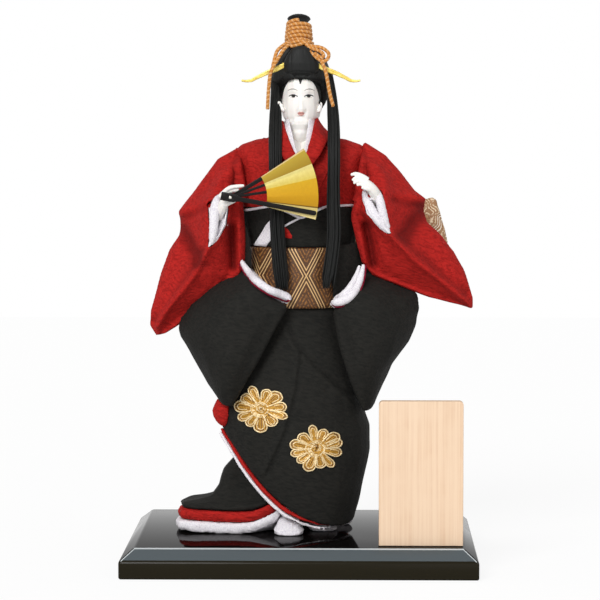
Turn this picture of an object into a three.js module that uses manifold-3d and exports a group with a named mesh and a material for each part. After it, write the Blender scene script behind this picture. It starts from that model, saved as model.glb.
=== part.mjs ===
// Costume doll of a dancer on a lacquered stand, with a folding fan and a loose wooden plaque.
// Millimetres, +Z up, the doll faces -Y. The origin is the middle of the stand's underside.
// Right and left are the doll's own, so its right hand, which holds the fan, lies toward -X.
// Heights in the doll's groups are measured from the top of the stand.

import * as THREE from "three";
import { mergeVertices } from "three/addons/utils/BufferGeometryUtils.js";
import Module from "manifold-3d";

const wasm = await Module();
wasm.setup();

// Fits and cloth
const CLEARANCE = 0.3;
const FACET = 0.14;
const CLOTH = 3;
const LINING = 1.4;

// Stand
const BASE_WIDTH = 270;
const BASE_DEPTH = 225;
const BASE_EDGE = 13.5;
const BEVEL_RISE = 9;
const BEVEL_INSET = 11;
const BASE_HEIGHT = BASE_EDGE + BEVEL_RISE;

// Feet, legs and the screws that hold them to the stand
const FOOT_LENGTH = 46;
const FOOT_HALF = 10.5;
const INSTEP_HEIGHT = 25;
const RIGHT_FOOT_X = -9;
const LEFT_FOOT_X = 17;
const RIGHT_HEEL_Y = -2;
const LEFT_HEEL_Y = 22;
const LEG_RADIUS = 4;
const LEG_LENGTH = 110;
const ANKLE_Y = -9;
const ANKLE_SEAT = 9;
const SCREW_RADIUS = 1.8;
const SCREW_HEAD_RADIUS = 4;
const SCREW_HEAD_HEIGHT = 2.6;
const SCREW_BITE = 14;

// Heights of the costume
const WAIST_HEIGHT = 178;
const OBI_LOW = 175;
const OBI_WIDTH = 47;
const BAND_WIDTH = 31;
const SHOULDER_HEIGHT = 307;
const NECK_HEIGHT = 300;
const OBI_HIGH = OBI_LOW + OBI_WIDTH;
const BAND_HIGH = OBI_HIGH + CLEARANCE + BAND_WIDTH;

// Skirt, the form inside it and its padded hems
const SKIRT_ROWS = 4;
const FORM_RECESS = 30;
const FORM_EASE = 3;
const HEM_ALLOWANCE = 10;
const HEM_ROLL = 1.9;
const HEM_GAP = 0.45;

// Train and its two padded hems
const WHITE_HEM = 8;
const RED_HEM = 8;
const TRAIN_RISE = 46;
const TRAIN_INNER = 16;
const HEM_STEP = 1.6;
const LAYER_GAP = 0.6;

// Body core, bust and collars
const CORE_EASE = 1.3;
const COLLAR_STEPS = 24;
const BUST_DEPTH = 12;
const PLUG_TAPER = 0.62;
const RED_COLLAR_DROP = 0.34;
const ARM_RADIUS = 4.2;
const PIPING_RADIUS = 1.3;
const BELT_SWELL = 0.8;

// Bow of the obi
const BOW_TILT = 17;
const BOW_LEFT = 119;
const BOW_RIGHT = 100;
const BOW_DEPTH = 13;
const BOW_FOLD = 1.6;
const LOOP_TIP = 42;
const KNOT_HALF = 12;
const KNOT_RISE = 13;
const KNOT_DEPTH = 10;
const KNOT_HEIGHT = 205;
const KNOT_Y = 45;
const TAIL_LENGTH = 95;
const TAIL_HALF = 17;

// Sleeves
const OPENING_DEPTH = 17;
const LINER_EASE = 0.6;
const CUFF_WIDTH = 6;
const MOUTH_SAG = 5;

// Neck and head
const NECK_RADIUS = 8;
const NECK_LOW = -14;
const PEG_RADIUS = 3.2;
const PEG_LENGTH = 22;
const NOSE_HEIGHT = 30;
const NOSE_REACH = 2.4;
const TOPKNOT_LEAN = 20;
const TOPKNOT_RADIUS = 6.4;
const TOPKNOT_HEIGHT = 24;
const WINDING_CORD = 2.9;
const WINDING_PITCH = 3.9;
const WINDING_TURNS = 5;
const STEPS_PER_TURN = 14;
const TIE_CORD = 3;
const PIN_WIDTH = 4;
const PIN_THICKNESS = 0.9;
const LOCK_HALF = 5;
const LOCK_THICKNESS = 4.4;

// Fan, with the place of its rivet
const FAN_X = -53;
const FAN_Y = -50.8;
const FAN_Z = 261.5;
const FAN_LENGTH = 66.5;
const LEAF_INNER = 28;
const STICK_THICKNESS = 0.8;
const GUARD_THICKNESS = 1.4;
const GUARD_BLOCK_BACK = 7.2;
const GUARD_BLOCK_FRONT = 2.5;
const GUARD_BLOCK_HALF = 3.2;
const LEAF_ROOM = 2.3;
const RIB_WIDTH = 2.4;
const GUARD_WIDTH = 3.6;
const FAN_HEAD_RADIUS = 3.6;
const RIVET_RADIUS = 1.1;
const RIVET_HEAD_RADIUS = 2.2;
const RIVET_HEAD_HEIGHT = 0.7;
const LEAF_THICKNESS = 0.5;
const PLEAT = 1.1;
const LEAF_OVERHANG = 2.6;
const LEAF_BORDER = 4.6;
const STICK_ANGLES = [-10.5, 8.4, 20, 31];

// Plaque
const PLAQUE_WIDTH = 63.5;
const PLAQUE_HEIGHT = 109.5;
const PLAQUE_THICKNESS = 9;
const PLAQUE_CORNER = 3;
const PLAQUE_X = 0.34 * BASE_WIDTH;
const PLAQUE_FRONT_Y = -92;

const point = (x, y, z) => new THREE.Vector3(x, y, z);
const radians = THREE.MathUtils.degToRad;
const mix = THREE.MathUtils.lerp;

// Solids and cuts

function bare(geometry) {
  const copy = new THREE.BufferGeometry();
  copy.setAttribute("position", geometry.getAttribute("position").clone());
  if (geometry.index) copy.setIndex(geometry.index.clone());
  return mergeVertices(copy, 1e-4);
}

function volume(positions, index) {
  const a = new THREE.Vector3();
  const b = new THREE.Vector3();
  const c = new THREE.Vector3();
  let total = 0;
  for (let i = 0; i < index.length; i += 3) {
    a.fromArray(positions, index[i] * 3);
    b.fromArray(positions, index[i + 1] * 3);
    c.fromArray(positions, index[i + 2] * 3);
    total += a.dot(b.cross(c)) / 6;
  }
  return total;
}

function fromTriangles(positions, index) {
  const facing = volume(positions, index) > 0 ? index : [...index].reverse();
  const geometry = new THREE.BufferGeometry();
  geometry.setAttribute("position", new THREE.Float32BufferAttribute(positions, 3));
  geometry.setIndex(facing);
  return geometry;
}

function solid(geometry) {
  const merged = bare(geometry);
  return new wasm.Manifold(new wasm.Mesh({
    numProp: 3,
    vertProperties: new Float32Array(merged.getAttribute("position").array),
    triVerts: new Uint32Array(merged.index.array),
  }));
}

// The main body of a cut or joined solid, without the crumbs that a cut can leave.
function geometryOf(manifold) {
  const bodies = manifold.simplify(FACET).decompose();
  const main = bodies.reduce((best, body) => (body.volume() > best.volume() ? body : best));
  const mesh = main.getMesh();
  return fromTriangles(Array.from(mesh.vertProperties), Array.from(mesh.triVerts));
}

// The same closed surface moved out along its normals, so that every face moves by the distance.
function grown(geometry, distance) {
  const merged = bare(geometry);
  const position = merged.getAttribute("position");
  const index = merged.index.array;
  const faces = Array.from({ length: position.count }, () => []);
  const corners = [point(0, 0, 0), point(0, 0, 0), point(0, 0, 0)];
  for (let i = 0; i < index.length; i += 3) {
    corners.forEach((corner, k) => corner.fromBufferAttribute(position, index[i + k]));
    const along = corners[1].clone().sub(corners[0]);
    const normal = along.cross(corners[2].clone().sub(corners[0]));
    if (normal.length() > 1e-9) {
      normal.normalize();
      [0, 1, 2].forEach((k) => faces[index[i + k]].push(normal));
    }
  }
  const moved = [];
  const here = point(0, 0, 0);
  faces.forEach((normals, i) => {
    const mean = normals.reduce((sum, n) => sum.add(n), point(0, 0, 0)).normalize();
    const least = Math.max(0.3, Math.min(...normals.map((n) => n.dot(mean))));
    here.fromBufferAttribute(position, i).addScaledVector(mean, distance / least);
    moved.push(here.x, here.y, here.z);
  });
  return fromTriangles(moved, Array.from(index));
}

function cut(geometry, tools, gap = CLEARANCE) {
  const left = tools.reduce((rest, tool) => rest.subtract(solid(grown(tool, gap))), solid(geometry));
  return geometryOf(left);
}

function join(first, ...others) {
  return geometryOf(others.reduce((sum, other) => sum.add(solid(other)), solid(first)));
}

function common(first, second) {
  return geometryOf(solid(first).intersect(solid(second)));
}

// A closed solid skinned over rings of equal counts, with a cap on the first and the last ring.
function skin(rings) {
  const count = rings[0].length;
  const positions = rings.flat().flatMap((p) => [p.x, p.y, p.z]);
  const index = [];
  for (let row = 0; row + 1 < rings.length; row += 1) {
    for (let i = 0; i < count; i += 1) {
      const a = row * count + i;
      const b = row * count + ((i + 1) % count);
      index.push(a, b, b + count, a, b + count, a + count);
    }
  }
  const ends = [[0, rings[0]], [(rings.length - 1) * count, rings[rings.length - 1]]];
  ends.forEach(([start, ring], end) => {
    const middle = ring.reduce((sum, p) => sum.add(p), point(0, 0, 0)).divideScalar(count);
    const tip = positions.length / 3;
    positions.push(middle.x, middle.y, middle.z);
    for (let i = 0; i < count; i += 1) {
      const pair = [start + i, start + ((i + 1) % count)];
      index.push(tip, ...(end === 0 ? pair.reverse() : pair));
    }
  });
  return fromTriangles(positions, index);
}

// Rings that run back into the first one, for collars, bands and pipings.
function loopSkin(rings) {
  const count = rings[0].length;
  const positions = rings.flat().flatMap((p) => [p.x, p.y, p.z]);
  const index = [];
  rings.forEach((ring, row) => {
    const next = (row + 1) % rings.length;
    for (let i = 0; i < count; i += 1) {
      const j = (i + 1) % count;
      const a = row * count;
      const b = next * count;
      index.push(a + i, a + j, b + j, a + i, b + j, b + i);
    }
  });
  return fromTriangles(positions, index);
}

// A loft through sections of equal point counts, smooth round each section and from one to the next.
function loft(sections, around, along) {
  const rings = sections.map((section) => {
    const ring = new THREE.CatmullRomCurve3(section, true, "catmullrom", 0.5);
    return ring.getPoints(around).slice(0, around);
  });
  const columns = rings[0].map((_, i) => {
    return new THREE.CatmullRomCurve3(rings.map((ring) => ring[i]), false, "catmullrom", 0.5);
  });
  const rows = [];
  for (let row = 0; row <= along; row += 1) {
    rows.push(columns.map((column) => column.getPoint(row / along)));
  }
  return skin(rows);
}

// A level oval with its own reach to the front and to the back.
function oval(middle, half, front, back, count) {
  return Array.from({ length: count }, (_, i) => {
    const turn = (i / count) * 2 * Math.PI;
    const reach = Math.cos(turn) > 0 ? front : back;
    return point(middle.x + half * Math.sin(turn), middle.y - reach * Math.cos(turn), middle.z);
  });
}

// Ovals stacked by height, each given as height, half width, reach to the front, reach to the back.
function stack(rows, x, y, count) {
  return skin(rows.map(([z, half, front, back]) => oval(point(x, y, z), half, front, back, count)));
}

// A limb: oval rings square to a path, each with a half width across `side` and a half thickness.
function limb(path, sizes, side, count) {
  const across = side.clone().normalize();
  return skin(path.map((p, i) => {
    const before = path[Math.max(0, i - 1)];
    const after = path[Math.min(path.length - 1, i + 1)];
    const tangent = after.clone().sub(before).normalize();
    const v = tangent.clone().cross(across).normalize();
    const u = v.clone().cross(tangent);
    return Array.from({ length: count }, (_, k) => {
      const turn = (k / count) * 2 * Math.PI;
      const wide = sizes[i][0] * Math.cos(turn);
      const thick = sizes[i][1] * Math.sin(turn);
      return p.clone().addScaledVector(u, wide).addScaledVector(v, thick);
    });
  }));
}

// A round tube along a curve.
function tube(curve, radius, sides, steps) {
  const outline = Array.from({ length: sides }, (_, i) => {
    const turn = (i / sides) * 2 * Math.PI;
    return new THREE.Vector2(radius * Math.cos(turn), radius * Math.sin(turn));
  });
  return new THREE.ExtrudeGeometry(new THREE.Shape(outline), { steps, extrudePath: curve });
}

function rod(x, y, low, high, radius, sides = 12) {
  const profile = [[0, low], [radius, low], [radius, high], [0, high]];
  const lathe = new THREE.LatheGeometry(profile.map(([r, z]) => new THREE.Vector2(r, z)), sides);
  return lathe.rotateX(Math.PI / 2).translate(x, y, 0);
}

function revolve(profile, sides) {
  const points = profile.map(([r, z]) => new THREE.Vector2(r, z));
  return new THREE.LatheGeometry(points, sides).rotateX(Math.PI / 2);
}

function mesh(name, geometry, color, roughness, metalness = 0) {
  const material = new THREE.MeshStandardMaterial({ color, roughness, metalness });
  const made = new THREE.Mesh(geometry, material);
  made.name = name;
  return made;
}

const BLACK_LACQUER = "#17130f";
const BARE_WOOD = "#f2d3ae";
const STEEL = "#8d8f92";
const WHITE_CLOTH = "#efeaf0";
const RED_CREPE = "#b3201c";
const BLACK_CREPE = "#232321";
const BROCADE = "#9a6a30";
const GOFUN = "#f6f1ea";
const HAIR = "#151714";
const GOLD_CORD = "#cf8f3a";
const GOLD_PIN = "#ebd45a";
const GOLD_LEAF = "#d9b02a";
const STRAW = "#c9b07a";

const object = new THREE.Group();
const doll = new THREE.Group();
doll.position.z = BASE_HEIGHT;
object.add(doll);

// Feet in split-toed socks, and the dowel legs that stand in them

function foot(x, heel) {
  const toe = heel - FOOT_LENGTH;
  const shape = [
    [0, 0.35, 0.45], [0.1, 0.58, 0.72], [0.3, 0.7, 1], [0.5, 0.8, 0.92],
    [0.7, 0.95, 0.66], [0.88, 1, 0.46], [0.97, 0.78, 0.32], [1, 0.4, 0.18],
  ];
  return skin(shape.map(([along, wide, tall]) => {
    const y = mix(heel, toe, along);
    const half = FOOT_HALF * wide;
    const height = INSTEP_HEIGHT * tall;
    return Array.from({ length: 10 }, (_, i) => {
      const turn = (i / 10) * 2 * Math.PI;
      const rise = Math.max(0, 0.32 + 0.68 * Math.sin(turn));
      return point(x + half * Math.cos(turn), y, CLEARANCE + height * rise);
    });
  }));
}

function toeSplit(x, heel) {
  const toe = heel - FOOT_LENGTH;
  const split = new THREE.BoxGeometry(0.9, FOOT_LENGTH * 0.26, INSTEP_HEIGHT);
  return split.translate(x + FOOT_HALF * 0.35, toe + FOOT_LENGTH * 0.08, INSTEP_HEIGHT / 2 + 1.2);
}

function leg(x, heel) {
  return rod(x, heel + ANKLE_Y, ANKLE_SEAT, ANKLE_SEAT + LEG_LENGTH, LEG_RADIUS);
}

function screw(x, heel) {
  const tip = BASE_HEIGHT + ANKLE_SEAT + SCREW_BITE;
  const profile = [
    [0, 0.8], [SCREW_HEAD_RADIUS, 0.8], [SCREW_RADIUS, 0.8 + SCREW_HEAD_HEIGHT],
    [SCREW_RADIUS, tip - 2], [0, tip],
  ];
  return revolve(profile, 12).translate(x, heel + ANKLE_Y, 0);
}

const feet = [
  { side: "right", x: RIGHT_FOOT_X, heel: RIGHT_HEEL_Y },
  { side: "left", x: LEFT_FOOT_X, heel: LEFT_HEEL_Y },
].map(({ side, x, heel }) => {
  const screwPiece = screw(x, heel);
  const screwInDoll = screwPiece.clone().translate(0, 0, -BASE_HEIGHT);
  const legPiece = cut(leg(x, heel), [screwInDoll]);
  const split = cut(foot(x, heel), [toeSplit(x, heel)], 0);
  const footPiece = cut(split, [legPiece, screwInDoll]);
  return { side, screwPiece, legPiece, footPiece, standing: [leg(x, heel), screwInDoll, footPiece] };
});

// Stand: a lacquered board with a bevelled top edge and a countersunk screw under each leg

function board() {
  const level = (width, depth, z) => [
    point(-width / 2, -depth / 2, z), point(width / 2, -depth / 2, z),
    point(width / 2, depth / 2, z), point(-width / 2, depth / 2, z),
  ];
  const topWidth = BASE_WIDTH - 2 * BEVEL_INSET;
  const topDepth = BASE_DEPTH - 2 * BEVEL_INSET;
  return skin([
    level(BASE_WIDTH, BASE_DEPTH, 0),
    level(BASE_WIDTH, BASE_DEPTH, BASE_EDGE),
    level(topWidth, topDepth, BASE_HEIGHT),
  ]);
}

function screwHole(piece) {
  const box = new THREE.Box3().setFromBufferAttribute(piece.getAttribute("position"));
  const middle = box.getCenter(point(0, 0, 0));
  const mouth = rod(middle.x, middle.y, -1, 1, SCREW_HEAD_RADIUS);
  return join(piece, mouth);
}

const holes = feet.map(({ screwPiece }) => screwHole(screwPiece));
object.add(mesh("base_board", cut(board(), holes), BLACK_LACQUER, 0.12));
feet.forEach(({ side, screwPiece, legPiece, footPiece }) => {
  object.add(mesh(`leg_screw_${side}`, screwPiece, STEEL, 0.35, 0.9));
  doll.add(mesh(`leg_${side}`, legPiece, BARE_WOOD, 0.7));
  doll.add(mesh(`tabi_${side}`, footPiece, WHITE_CLOTH, 0.85));
});

// Skirt of the black kimono: columns of points from the waist down to the slanted hem.
// The front wrap is drawn up to the doll's right, so its hem climbs from the left foot to that hip.

const SKIRT_COLUMNS = [
  [[-33, -14, 0], [-47, -20, 38], [-58, -22, 73], [-62, -20, 95]],
  [[-24, -22, 0], [-38, -34, 48], [-45, -38, 93], [-40, -38, 127]],
  [[-12, -27, 0], [-20, -40, 53], [-25, -45, 108], [-20, -43, 149]],
  [[2, -28, 0], [0, -43, 58], [-2, -49, 118], [0, -47, 164.5]],
  [[16, -26, 0], [21, -38.5, 60], [22, -44.5, 118], [20, -44, 173]],
  [[28, -20, 0], [38, -30, 66], [45, -33, 110], [34, -31, 174.5]],
  [[36, -4, 0], [46, -6, 72], [54.8, -6, 106], [41.5, -8, 172]],
  [[30, 15, 0], [40, 20, 66], [46, 22, 110], [36, 17, 172]],
  [[6, 27, 0], [8, 36, 58], [8, 40, 113], [6, 34, 170]],
  [[-22, 22, 0], [-32, 32, 48], [-40, 34, 93], [-38, 28, 133]],
  [[-33, 4, 0], [-48, 6, 38], [-58, 8, 68], [-62, 4, 90]],
];

// The skirt's surface drawn in by `inset`, with its hem drawn back or let out by `reach`.
function skirtSolid(inset, reach, rise, around, along) {
  const sections = Array.from({ length: SKIRT_ROWS }, (_, row) => SKIRT_COLUMNS.map((column) => {
    const [x, y, drop] = column[row];
    const out = new THREE.Vector2(x, y);
    out.setLength(out.length() - inset);
    const lowered = row === SKIRT_ROWS - 1 ? drop + reach : drop;
    const lift = row === 0 ? rise : 0;
    return point(out.x, out.y, WAIST_HEIGHT - lowered + lift);
  }));
  return loft(sections, around, along);
}

const skirtForm = skirtSolid(CLOTH + FORM_EASE, -FORM_RECESS, CLEARANCE, 18, 5);
const skirtRoom = skirtSolid(CLOTH, HEM_ALLOWANCE, 2, 22, 5);
const skirtOuter = skirtSolid(0, 0, 0, 30, 7);
const standing = feet.flatMap((made) => made.standing);
const skirt = cut(skirtOuter, [skirtRoom], 0);
const formPiece = cut(skirtForm, standing);
doll.add(mesh("skirt_form", formPiece, STRAW, 0.95));
doll.add(mesh("skirt", skirt, BLACK_CREPE, 0.9));

// Padded hems of the front wrap: two soft rolls along the slanted edge

const HEM_COLUMNS = [0, 1, 2, 3, 4, 5, 6];

function hemCurve(drop, inset) {
  return new THREE.CatmullRomCurve3(HEM_COLUMNS.map((index) => {
    const [x, y, low] = SKIRT_COLUMNS[index][SKIRT_ROWS - 1];
    const lean = index < 4 ? 0.62 * drop : 0.2 * drop;
    const out = new THREE.Vector2(x - lean, y);
    out.setLength(out.length() - inset);
    return point(out.x, out.y, Math.max(HEM_ROLL + 3 * CLEARANCE, WAIST_HEIGHT - low - drop));
  }));
}

const redRoll = cut(tube(hemCurve(2, 2.2), HEM_ROLL, 6, 13), [skirt, formPiece, ...standing]);
const whiteRoll = cut(
  tube(hemCurve(5, 3), HEM_ROLL, 6, 13), [skirt, formPiece, redRoll, ...standing], HEM_GAP,
);
doll.add(mesh("skirt_hem_red", redRoll, RED_CREPE, 0.85));
doll.add(mesh("skirt_hem_white", whiteRoll, WHITE_CLOTH, 0.85));

// Train: layers that spread from under the wrap to the doll's right and behind it.
// A bearing of 0 is the front, 90 the doll's right and 180 the back.

const TRAIN_MIDDLE = point(-5, 2, 0);
const TRAIN_EDGE = [
  [16, 34, 13], [30, 41, 6], [45, 49.5, 0.6], [56, 61, 0], [64, 74, 0.4], [71, 90, 1.6], [84, 91, 1],
  [105, 88, 0], [130, 82, 0], [155, 77, 0], [180, 73, 0], [205, 65, 0], [230, 52, 0], [248, 45, 0],
];
const TRAIN_DRAPE = [[0.2, 0.04], [0.34, 0.1], [0.43, 0.27], [0.5, 0.55], [0.6, 0.76], [0.76, 0.88]];

// One layer between two heights at its edge, rising toward the doll by `rise`.
function trainLayer(low, high, rise, spread, steps) {
  const edge = new THREE.CatmullRomCurve3(TRAIN_EDGE.map(([bearing, reach, lift]) => {
    return point(bearing, reach, lift);
  }));
  const round = Math.min(2.4, (high - low) / 2);
  const rings = edge.getPoints(steps).map(({ x: bearing, y: reach, z: lift }, step) => {
    const turn = radians(bearing);
    const fold = Math.sin(bearing * 0.21) * Math.min(1, step / 6) * (rise > 0 ? 1.4 : 0.5);
    const outer = reach + spread + fold;
    const at = (distance, height) => point(
      TRAIN_MIDDLE.x - distance * Math.sin(turn), TRAIN_MIDDLE.y - distance * Math.cos(turn), height + lift,
    );
    const span = outer - TRAIN_INNER;
    const drape = rise > 0 ? TRAIN_DRAPE : [];
    return [
      at(TRAIN_INNER, low), at(outer - round, low), at(outer, low + round), at(outer, high - round),
      at(outer - round, high), ...drape.map(([share, up]) => at(outer - span * share, high + rise * up)),
      at(TRAIN_INNER, high + rise),
    ];
  });
  return skin(rings);
}

const whiteTop = CLEARANCE + WHITE_HEM;
const redLow = whiteTop + LAYER_GAP;
const redTop = redLow + RED_HEM;
const trainLow = redTop + LAYER_GAP;
const dress = [skirtOuter, redRoll, whiteRoll, ...standing];
const trainWhite = cut(trainLayer(CLEARANCE, whiteTop, 0, 2 * HEM_STEP, 20), dress, HEM_GAP);
const trainRed = cut(trainLayer(redLow, redTop, 0, HEM_STEP, 20), dress, HEM_GAP);
const train = cut(trainLayer(trainLow, trainLow + 4, TRAIN_RISE, 0, 20), dress, HEM_GAP);
doll.add(mesh("train_hem_white", trainWhite, WHITE_CLOTH, 0.85));
doll.add(mesh("train_hem_red", trainRed, RED_CREPE, 0.85));
doll.add(mesh("train", train, BLACK_CREPE, 0.9));

// Torso: a bound straw core, the white bust at the neck and the red under-kimono over them

const TORSO = [
  [WAIST_HEIGHT + 2 * CLEARANCE, 36, 28, 27], [225, 38, 29, 28], [252, 42, 31, 29], [275, 47, 31, 28],
  [288, 50, 28, 25], [296, 52, 24, 22], [301, 47, 20, 20], [305, 35, 17, 18], [SHOULDER_HEIGHT, 20, 14, 16],
];
const core = stack(
  TORSO.slice(0, -1).filter((_, row) => row !== 4).map(([z, half, front, back], row) => {
    const lowest = row === 0 ? z : z - CLOTH - CORE_EASE;
    return [lowest, half - CLOTH - CORE_EASE, front - CLOTH - CORE_EASE, back - CLOTH - CORE_EASE];
  }), 0, 0, 12,
);
const torso = stack(TORSO, 0, 0, 20);

// Collar bands: a closed V that rises round the neck, its edges given by turns from the front.
const COLLAR_TOP = [
  [0, -31, 292], [-6, -28.5, 303], [-11.2, -20, 314.5], [-13.2, -6.5, 320.5], [-11.6, 10.5, 317],
];
const COLLAR_LOW = [
  [0, -32.5, 280], [-11, -31, 293], [-18.7, -22, 304], [-20.7, -4.5, 309], [-15.8, 14.5, 310],
];
const COLLAR_TOP_BACK = [0, 18.5, 315];
const COLLAR_LOW_BACK = [0, 23, 308];

function collarEdge(side, back, steps) {
  const right = side.map(([x, y, z]) => point(x, y, z));
  const left = side.slice(1).reverse().map(([x, y, z]) => point(-x, y, z));
  const path = new THREE.CatmullRomCurve3([...right, point(...back), ...left], true, "catmullrom", 0.3);
  return path.getPoints(steps).slice(0, steps);
}

function collarRows(steps) {
  const top = collarEdge(COLLAR_TOP, COLLAR_TOP_BACK, steps);
  const low = collarEdge(COLLAR_LOW, COLLAR_LOW_BACK, steps);
  return top.map((upper, i) => {
    const lower = low[i];
    const out = point(upper.x + lower.x, upper.y + lower.y - 4, 0).normalize();
    out.z = 0.55;
    return { upper, lower, out: out.normalize() };
  });
}

// A band between two distances out from the collar's own surface, with its top edge lowered.
function collarBand(from, to, drop, steps) {
  return loopSkin(collarRows(steps).map(({ upper, lower, out }) => {
    const top = upper.clone().lerp(lower, drop);
    return [
      top.clone().addScaledVector(out, from), top.clone().addScaledVector(out, to),
      lower.clone().addScaledVector(out, to), lower.clone().addScaledVector(out, from),
    ];
  }));
}

// Everything inside the collar out to a distance, as one plug that reaches some way below it.
function collarPlug(to, drop, below, steps) {
  const rows = collarRows(steps);
  const rim = rows.map(({ upper, lower, out }) => upper.clone().lerp(lower, drop).addScaledVector(out, to));
  const foot = rows.map(({ lower, out }) => lower.clone().addScaledVector(out, to));
  const base = foot.map((p) => point(p.x * PLUG_TAPER, p.y * PLUG_TAPER, p.z - below));
  return skin([rim, foot, base]);
}

const neckRoom = rod(0, 2, NECK_HEIGHT - 16, NECK_HEIGHT + 30, NECK_RADIUS + 0.6, 18);
const pegRoom = rod(0, 2, NECK_HEIGHT - 16 - PEG_LENGTH, NECK_HEIGHT + 30, PEG_RADIUS, 14);
const bust = cut(collarPlug(-CLEARANCE, 0.55, BUST_DEPTH, COLLAR_STEPS), [neckRoom, pegRoom], 0);
const innerCollar = collarBand(0, LINING, 0, COLLAR_STEPS);
const redFrom = LINING + 2 * CLEARANCE;
const redCollarTo = redFrom + LINING + 0.6;
const redCollar = collarBand(redFrom, redCollarTo, RED_COLLAR_DROP, COLLAR_STEPS);

// Arms: padded wire from the shoulder to the elbow and forward to the wrist
const RIGHT_ARM = [[-30, 0, 284], [-52, 0, 276], [-82, -6, 250], [-75, -20, 249], [-67, -35.5, 253.7]];
const LEFT_ARM = [[30, 0, 286], [54, 0, 279], [84, -8, 256], [72, -21, 257.5], [58.5, -37.2, 262.4]];
const arm = (route) => tube(new THREE.CatmullRomCurve3(route.map((p) => point(...p))), ARM_RADIUS, 8, 10);
const rightArm = arm(RIGHT_ARM);
const leftArm = arm(LEFT_ARM);

const plug = collarPlug(redCollarTo, 0, BUST_DEPTH + redCollarTo, COLLAR_STEPS);
const bodyCore = cut(core, [bust, neckRoom, pegRoom, rightArm, leftArm]);
const torsoRoom = stack(
  TORSO.slice(0, -1).map(([z, half, front, back], row) => {
    const lowest = row === 0 ? z - 10 : z - CLOTH;
    return [lowest, half - CLOTH, front - CLOTH, back - CLOTH];
  }), 0, 0, 18,
);
const bodice = cut(cut(torso, [torsoRoom], 0), [plug, rightArm, leftArm]);
doll.add(mesh("body_core", bodyCore, STRAW, 0.95));
doll.add(mesh("bust", bust, GOFUN, 0.5));
doll.add(mesh("bodice", bodice, RED_CREPE, 0.85));
doll.add(mesh("inner_collar", innerCollar, WHITE_CLOTH, 0.85));
doll.add(mesh("outer_collar", redCollar, RED_CREPE, 0.85));
doll.add(mesh("arm_right", rightArm, STRAW, 0.9));
doll.add(mesh("arm_left", leftArm, STRAW, 0.9));

// Obi, the black band of the slipped-off kimono above it and its white piping

function beltBand(low, high, bottom, top, count) {
  const [wide, front, back] = bottom;
  const [topWide, topFront, topBack] = top;
  return stack([
    [low, wide - 1, front - 1, back - 1], [low + 1.5, wide, front, back],
    [
      mix(low, high, 0.5), (wide + topWide) / 2 + BELT_SWELL, (front + topFront) / 2 + BELT_SWELL,
      (back + topBack) / 2 + BELT_SWELL,
    ],
    [high - 1.5, topWide, topFront, topBack], [high, topWide - 1, topFront - 1, topBack - 1],
  ], 0, 0, count);
}

const waistRoom = [torso, skirtOuter];
const obi = cut(beltBand(OBI_LOW, OBI_HIGH, [41, 34, 33], [42, 35, 34], 22), waistRoom);
const band = cut(
  beltBand(OBI_HIGH + CLEARANCE, BAND_HIGH, [42, 33.5, 32], [46, 35, 33], 22), waistRoom,
);
const pipingRing = oval(point(0, 0, BAND_HIGH + CLEARANCE + PIPING_RADIUS), 44.2, 33.4, 31.4, 24);
const piping = cut(loopSkin(pipingRing.map((p) => {
  const out = point(p.x, p.y, 0).normalize();
  return Array.from({ length: 5 }, (_, i) => {
    const turn = (i / 5) * 2 * Math.PI;
    return p.clone().addScaledVector(out, PIPING_RADIUS * Math.cos(turn))
      .add(point(0, 0, PIPING_RADIUS * Math.sin(turn)));
  });
})), [torso]);
doll.add(mesh("obi", obi, BROCADE, 0.6));
doll.add(mesh("waist_band", band, BLACK_CREPE, 0.9));
doll.add(mesh("waist_piping", piping, WHITE_CLOTH, 0.85));

// Obi bow at the back: a knot, two loops tilted up to the doll's left, and a hanging end

// A point of the bow, given along it and across it, turned by the bow's tilt about the knot.
function tilted(along, y, up) {
  const tilt = radians(BOW_TILT);
  const x = along * Math.cos(tilt) - up * Math.sin(tilt);
  return point(x, y, KNOT_HEIGHT + along * Math.sin(tilt) + up * Math.cos(tilt));
}

function bowLoop(sign, length) {
  const rows = [
    [KNOT_HALF + 2.2 * CLEARANCE, 9, 0.8], [30, 15, 1], [60, 19, 1.15], [length - 20, LOOP_TIP / 2 + 1, 1.05],
    [length - 3, LOOP_TIP / 2, 0.8], [length, LOOP_TIP / 2 - 3, 0.35],
  ];
  return skin(rows.map(([reach, half, depth]) => {
    return Array.from({ length: 18 }, (_, i) => {
      const turn = (i / 18) * 2 * Math.PI;
      const up = half * Math.sin(turn);
      const crease = BOW_FOLD * Math.max(0, Math.cos(turn)) * Math.cos((up / half) * 2 * Math.PI);
      const y = KNOT_Y + depth * ((BOW_DEPTH / 2) * Math.cos(turn) - crease);
      return tilted(sign * reach, y, up);
    });
  }));
}

const knot = cut(skin([-1, -0.7, 0, 0.7, 1].map((share) => {
  const swell = 1 - 0.3 * share * share;
  return Array.from({ length: 16 }, (_, i) => {
    const turn = (i / 16) * 2 * Math.PI;
    const up = KNOT_RISE * swell * Math.sin(turn);
    return tilted(KNOT_HALF * share, KNOT_Y + KNOT_DEPTH * swell * Math.cos(turn), up);
  });
})), [obi]);
const bowTail = cut(skin([0, 0.12, 0.35, 0.6, 0.85, 1].map((share) => {
  const z = KNOT_HEIGHT - 6 - TAIL_LENGTH * share;
  const half = mix(10, TAIL_HALF, Math.min(1, share * 3));
  return Array.from({ length: 16 }, (_, i) => {
    const turn = (i / 16) * 2 * Math.PI;
    const x = half * Math.cos(turn);
    return point(x, KNOT_Y + 1 - 3 * share + 3 * Math.sin(turn) + 1.2 * Math.sin(x * 0.5), z);
  });
})), [obi, knot, skirtOuter]);
const bowRoom = [knot, bowTail, obi];
const bowLoops = { left: cut(bowLoop(1, BOW_LEFT), bowRoom), right: cut(bowLoop(-1, BOW_RIGHT), bowRoom) };
doll.add(mesh("obi_knot", knot, BROCADE, 0.6));
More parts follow.
